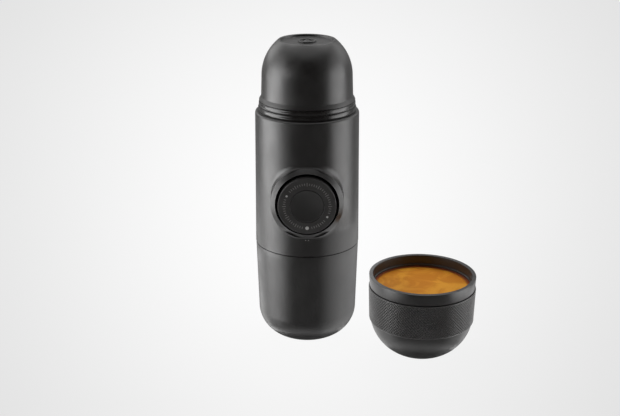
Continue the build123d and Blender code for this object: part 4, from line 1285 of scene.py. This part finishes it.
def floor():
    """A polished white table: white to the eye, with a faint shadow under the object.

    Its white dims with s / (1 + s): a painted fall-off of light round a bright pool at the fade's
    centre. Here s is the sum of two squares, each of a measure times its own steepness. One measure
    is the distance off the middle over the depth, which opens as a fan to the rear, and the other is
    one over the depth less its value at the fade's centre.
    Reflections see the softboxes again in its polish, so the object's walls, which the camera sees
    from above, show them down to the foot.
    """
    material, tree = new_material("table_polished_white")
    rays = node(tree, "ShaderNodeLightPath").outputs
    place = node(tree, "ShaderNodeTexCoord").outputs["Object"]
    depth = node(
        tree,
        "ShaderNodeMapRange",
        {
            "Value": node(tree, "ShaderNodeSeparateXYZ", {0: place}).outputs[1],
            "From Min": -FAN_FRONT * MM,
            "From Max": FAN_REAR * MM,
            "To Min": (FAN_POINT - FAN_FRONT) * MM,
            "To Max": (FAN_POINT + FAN_REAR) * MM,
        },
    ).outputs[0]
    sideways = {0: place, 1: (1, 0, 0), 2: (0, 1, 0)}
    flat = node(tree, "ShaderNodeVectorMath", sideways, operation="MULTIPLY_ADD").outputs[0]
    fan = node(tree, "ShaderNodeVectorMath", {0: flat, 1: depth}, operation="DIVIDE").outputs[0]
    centre = (0, FADE_CENTRE, 0)
    off = node(tree, "ShaderNodeVectorMath", {0: fan, 1: centre}, operation="SUBTRACT").outputs[0]
    steepness = (*FADE_STEEPNESS, 0)
    scaled = node(tree, "ShaderNodeVectorMath", {0: off, 1: steepness}, operation="MULTIPLY").outputs[0]
    away = node(tree, "ShaderNodeVectorMath", {0: scaled}, operation="LENGTH").outputs["Value"]
    squared = node(tree, "ShaderNodeMath", {0: away, 1: 2.0}, operation="POWER").outputs[0]
    more = node(tree, "ShaderNodeMath", {0: squared, 1: 1.0}, operation="ADD").outputs[0]
    painted_falloff = node(tree, "ShaderNodeMath", {0: squared, 1: more}, operation="DIVIDE").outputs[0]
    # Painted light: the table's white is painted dimmer away from a bright pool at the fade's centre.
    whites = {0: painted_falloff, 6: colour("#FFFFFF"), 7: colour("#C8C8C8")}
    painted_pool = node(tree, "ShaderNodeMix", whites, data_type="RGBA").outputs[2]
    matt = node(tree, "ShaderNodeBsdfDiffuse", {"Color": colour("#E4E4E4")}).outputs[0]
    glow = node(tree, "ShaderNodeEmission", {"Color": painted_pool}).outputs[0]
    seen = seen_rays(tree, rays)
    share = node(tree, "ShaderNodeMath", {0: seen, 1: GLOW_SHARE}, operation="MULTIPLY").outputs[0]
    top = node(tree, "ShaderNodeMixShader", {0: share, 1: matt, 2: glow}).outputs[0]
    polish = node(tree, "ShaderNodeBsdfGlossy", {"Color": colour("#FFFFFF"), "Roughness": 0.0}).outputs[0]
    gloss = node(
        tree,
        "ShaderNodeMapRange",
        {
            "Value": node(tree, "ShaderNodeVectorMath", {0: place}, operation="LENGTH").outputs["Value"],
            "From Min": POLISH_REACH[0] * MM,
            "From Max": POLISH_REACH[1] * MM,
            "To Min": POLISH_SHARE[0],
            "To Max": POLISH_SHARE[1],
        },
    ).outputs[0]
    reflected = rays["Is Glossy Ray"]
    share = node(tree, "ShaderNodeMath", {0: reflected, 1: gloss}, operation="MULTIPLY").outputs[0]
    surface = node(tree, "ShaderNodeMixShader", {0: share, 1: top, 2: polish})
    node(tree, "ShaderNodeOutputMaterial", {"Surface": surface.outputs[0]})
    reach = TABLE_REACH
    corners = [(-reach, -reach, 0), (reach, -reach, 0), (reach, reach, 0), (-reach, reach, 0)]
    add_stage("table", corners, [(0, 1, 2, 3)], material)


def only_in_reflections(screen):
    """Takes a screen out of every kind of ray but the ones that a glossy surface sends out."""
    screen.visible_camera = False
    screen.visible_diffuse = False
    screen.visible_shadow = False
    screen.visible_transmission = False


def flag(name, material, bearings, height):
    """A curved screen round the set that only reflections see: an upright strip of a cylinder."""
    angle = np.radians(np.linspace(*bearings, SCREEN_COLUMNS))
    x, y = SCREEN_DISTANCE * np.sin(angle), -SCREEN_DISTANCE * np.cos(angle)
    level = np.array([[SCREEN_FOOT], [height]])
    points = np.stack(np.broadcast_arrays(x, y, level), axis=-1).reshape(-1, 3)
    only_in_reflections(add_stage(name, points, cells(2, SCREEN_COLUMNS, False, False), material))


def level_ramp(tree, value, ends, stops):
    """A grey that follows a value between two ends in millimetres.

    Stops are (place from 0 to 1, level): the ramp's own two, and then those to add.
    """
    low, high = ends[0] * MM, ends[1] * MM
    share = node(tree, "ShaderNodeMapRange", {"Value": value, "From Min": low, "From Max": high})
    ramp = node(tree, "ShaderNodeValToRGB", {"Fac": share.outputs[0]})
    elements = ramp.color_ramp.elements
    for number, (position, level) in enumerate(stops):
        stop = elements[number] if number < 2 else elements.new(position)
        stop.position = position
        stop.color = (level, level, level, 1)
    return ramp.outputs[0]


def black_cloth():
    """Black cloth in front, which keeps the front of the object dark between the softboxes."""
    material, tree = new_material("cloth_black")
    matt = node(tree, "ShaderNodeBsdfDiffuse", {"Color": colour("#060606")})
    node(tree, "ShaderNodeOutputMaterial", {"Surface": matt.outputs[0]})
    flag("black_cloth", material, CLOTH_BEARINGS, CLOTH_HEIGHT)


def glowing_grey_card():
    """Grey card behind that glows of its own and that only reflections see; its glow is painted lighter at
    some heights than at others.
    """
    material, tree = new_material("glowing_card_grey")
    place = node(tree, "ShaderNodeTexCoord").outputs["Object"]
    height = node(tree, "ShaderNodeSeparateXYZ", {0: place}).outputs[2]
    glow = node(tree, "ShaderNodeEmission", {"Color": level_ramp(tree, height, (0, CARD_HEIGHT), CARD_GLOW_STOPS)})
    node(tree, "ShaderNodeOutputMaterial", {"Surface": glow.outputs[0]})
    flag("glowing_grey_card", material, CARD_BEARINGS, CARD_HEIGHT)


def highlight_card(name, off_middle, strength, stops):
    """A small card between machine and cup that glows and that only reflections see: it paints a highlight on
    each where the other would show as a dark patch.

    It stands square to the line between their axes, and its glow changes from its front end to its
    rear: stops are (place along it from 0 to 1, share of its strength).
    """
    apart = np.linalg.norm(cup_place[:2])
    towards = cup_place[:2] / apart
    middle = towards * ((tank_top_radius + apart - grip_top_radius) / 2 + off_middle)
    back = np.array([-towards[1], towards[0]])
    material, tree = new_material(name)
    place = node(tree, "ShaderNodeTexCoord").outputs["Object"]
    along = node(tree, "ShaderNodeVectorMath", {0: place, 1: (*back, 0)}, operation="DOT_PRODUCT")
    shade = level_ramp(tree, along.outputs["Value"], HIGHLIGHT_CARD_ENDS, stops)
    glow = node(tree, "ShaderNodeEmission", {"Color": shade, "Strength": strength})
    node(tree, "ShaderNodeOutputMaterial", {"Surface": glow.outputs[0]})
    first, last = [middle + back * reach for reach in HIGHLIGHT_CARD_ENDS]
    corners = [(*first, SCREEN_FOOT), (*last, SCREEN_FOOT)]
    corners += [(*last, HIGHLIGHT_CARD_HEIGHT), (*first, HIGHLIGHT_CARD_HEIGHT)]
    only_in_reflections(add_stage(name, corners, [(0, 1, 2, 3)], material))


def area_lamp(name, width, height, radiance, place, turn):
    """A lamp with a rectangular face. Its power is its radiance times its area times pi."""
    lamp = bpy.data.lights.new(name, "AREA")
    lamp.shape = "RECTANGLE"
    lamp.size = width * MM
    lamp.size_y = height * MM
    lamp.energy = radiance * math.pi * width * height * MM**2
    holder = bpy.data.objects.new(name, lamp)
    bpy.context.scene.collection.objects.link(holder)
    holder.location = np.array(place) * MM
    holder.rotation_euler = turn
    holder.visible_camera = False


def softbox(name, bearing, width, low, high, radiance):
    """An upright softbox facing the machine, from one height to another."""
    side = math.radians(bearing)
    out = np.array([math.sin(side), -math.cos(side), 0]) * SOFTBOX_DISTANCE
    area_lamp(name, width, high - low, radiance, out + [0, 0, (low + high) / 2], (math.pi / 2, 0, side))


def top_light():
    """A soft lamp above and behind, for the crema and the recess in the head."""
    tilt = math.atan2(TOP_PLACE[1], TOP_PLACE[2] - TOP_AIM)
    area_lamp("softbox_top", TOP_WIDTH, TOP_DEPTH, TOP_RADIANCE, TOP_PLACE, (-tilt, 0, 0))


def world():
    """A white surround to the eye and in reflections, and a dim fill to everything else."""
    setting = bpy.data.worlds.new("studio")
    bpy.context.scene.world = setting
    setting.use_nodes = True
    tree = setting.node_tree
    tree.nodes.clear()
    seen = seen_rays(tree, node(tree, "ShaderNodeLightPath").outputs)
    strength = node(tree, "ShaderNodeMapRange", {"Value": seen, "To Min": FILL, "To Max": SURROUND})
    glow = node(tree, "ShaderNodeBackground", {"Color": colour("#FFFFFF"), "Strength": strength.outputs[0]})
    node(tree, "ShaderNodeOutputWorld", {"Surface": glow.outputs[0]})


def camera():
    """The camera: a long lens in front of the machine, looking down a little."""
    eye = bpy.data.cameras.new("camera")
    eye.sensor_width = 36.0
    eye.lens = FOCAL_PIXELS / PICTURE_WIDTH * eye.sensor_width
    holder = bpy.data.objects.new("camera", eye)
    bpy.context.scene.collection.objects.link(holder)
    holder.location = np.array(CAMERA_PLACE) * MM
    holder.rotation_euler = (math.radians(90 - CAMERA_PITCH), 0, 0)
    bpy.context.scene.camera = holder


# ---------------------------------------------------------------- the whole

dress_cad_nodes()
water_tank()
main_body()
bezel_ring()
neck_collar()
body_dots()
pump_knob()
knob_disc()
knob_marks()
knob_dots()
outlet_head()
outlet_nozzle()
cup_shell()
cup_grip()
espresso()
pump_spring()
valve_spring("inlet_spring_fine", "inlet_valve_spring")
valve_spring("outlet_spring_fine", "outlet_valve_spring")

floor()
black_cloth()
glowing_grey_card()
highlight_card("highlight_card_to_machine", -1, 2.0, TO_MACHINE_STOPS)
highlight_card("highlight_card_to_cup", 1, 2.5, TO_CUP_STOPS)
for box in SOFTBOXES:
    softbox(*box)
top_light()
world()
camera()
bpy.context.scene.view_settings.view_transform = "Standard"
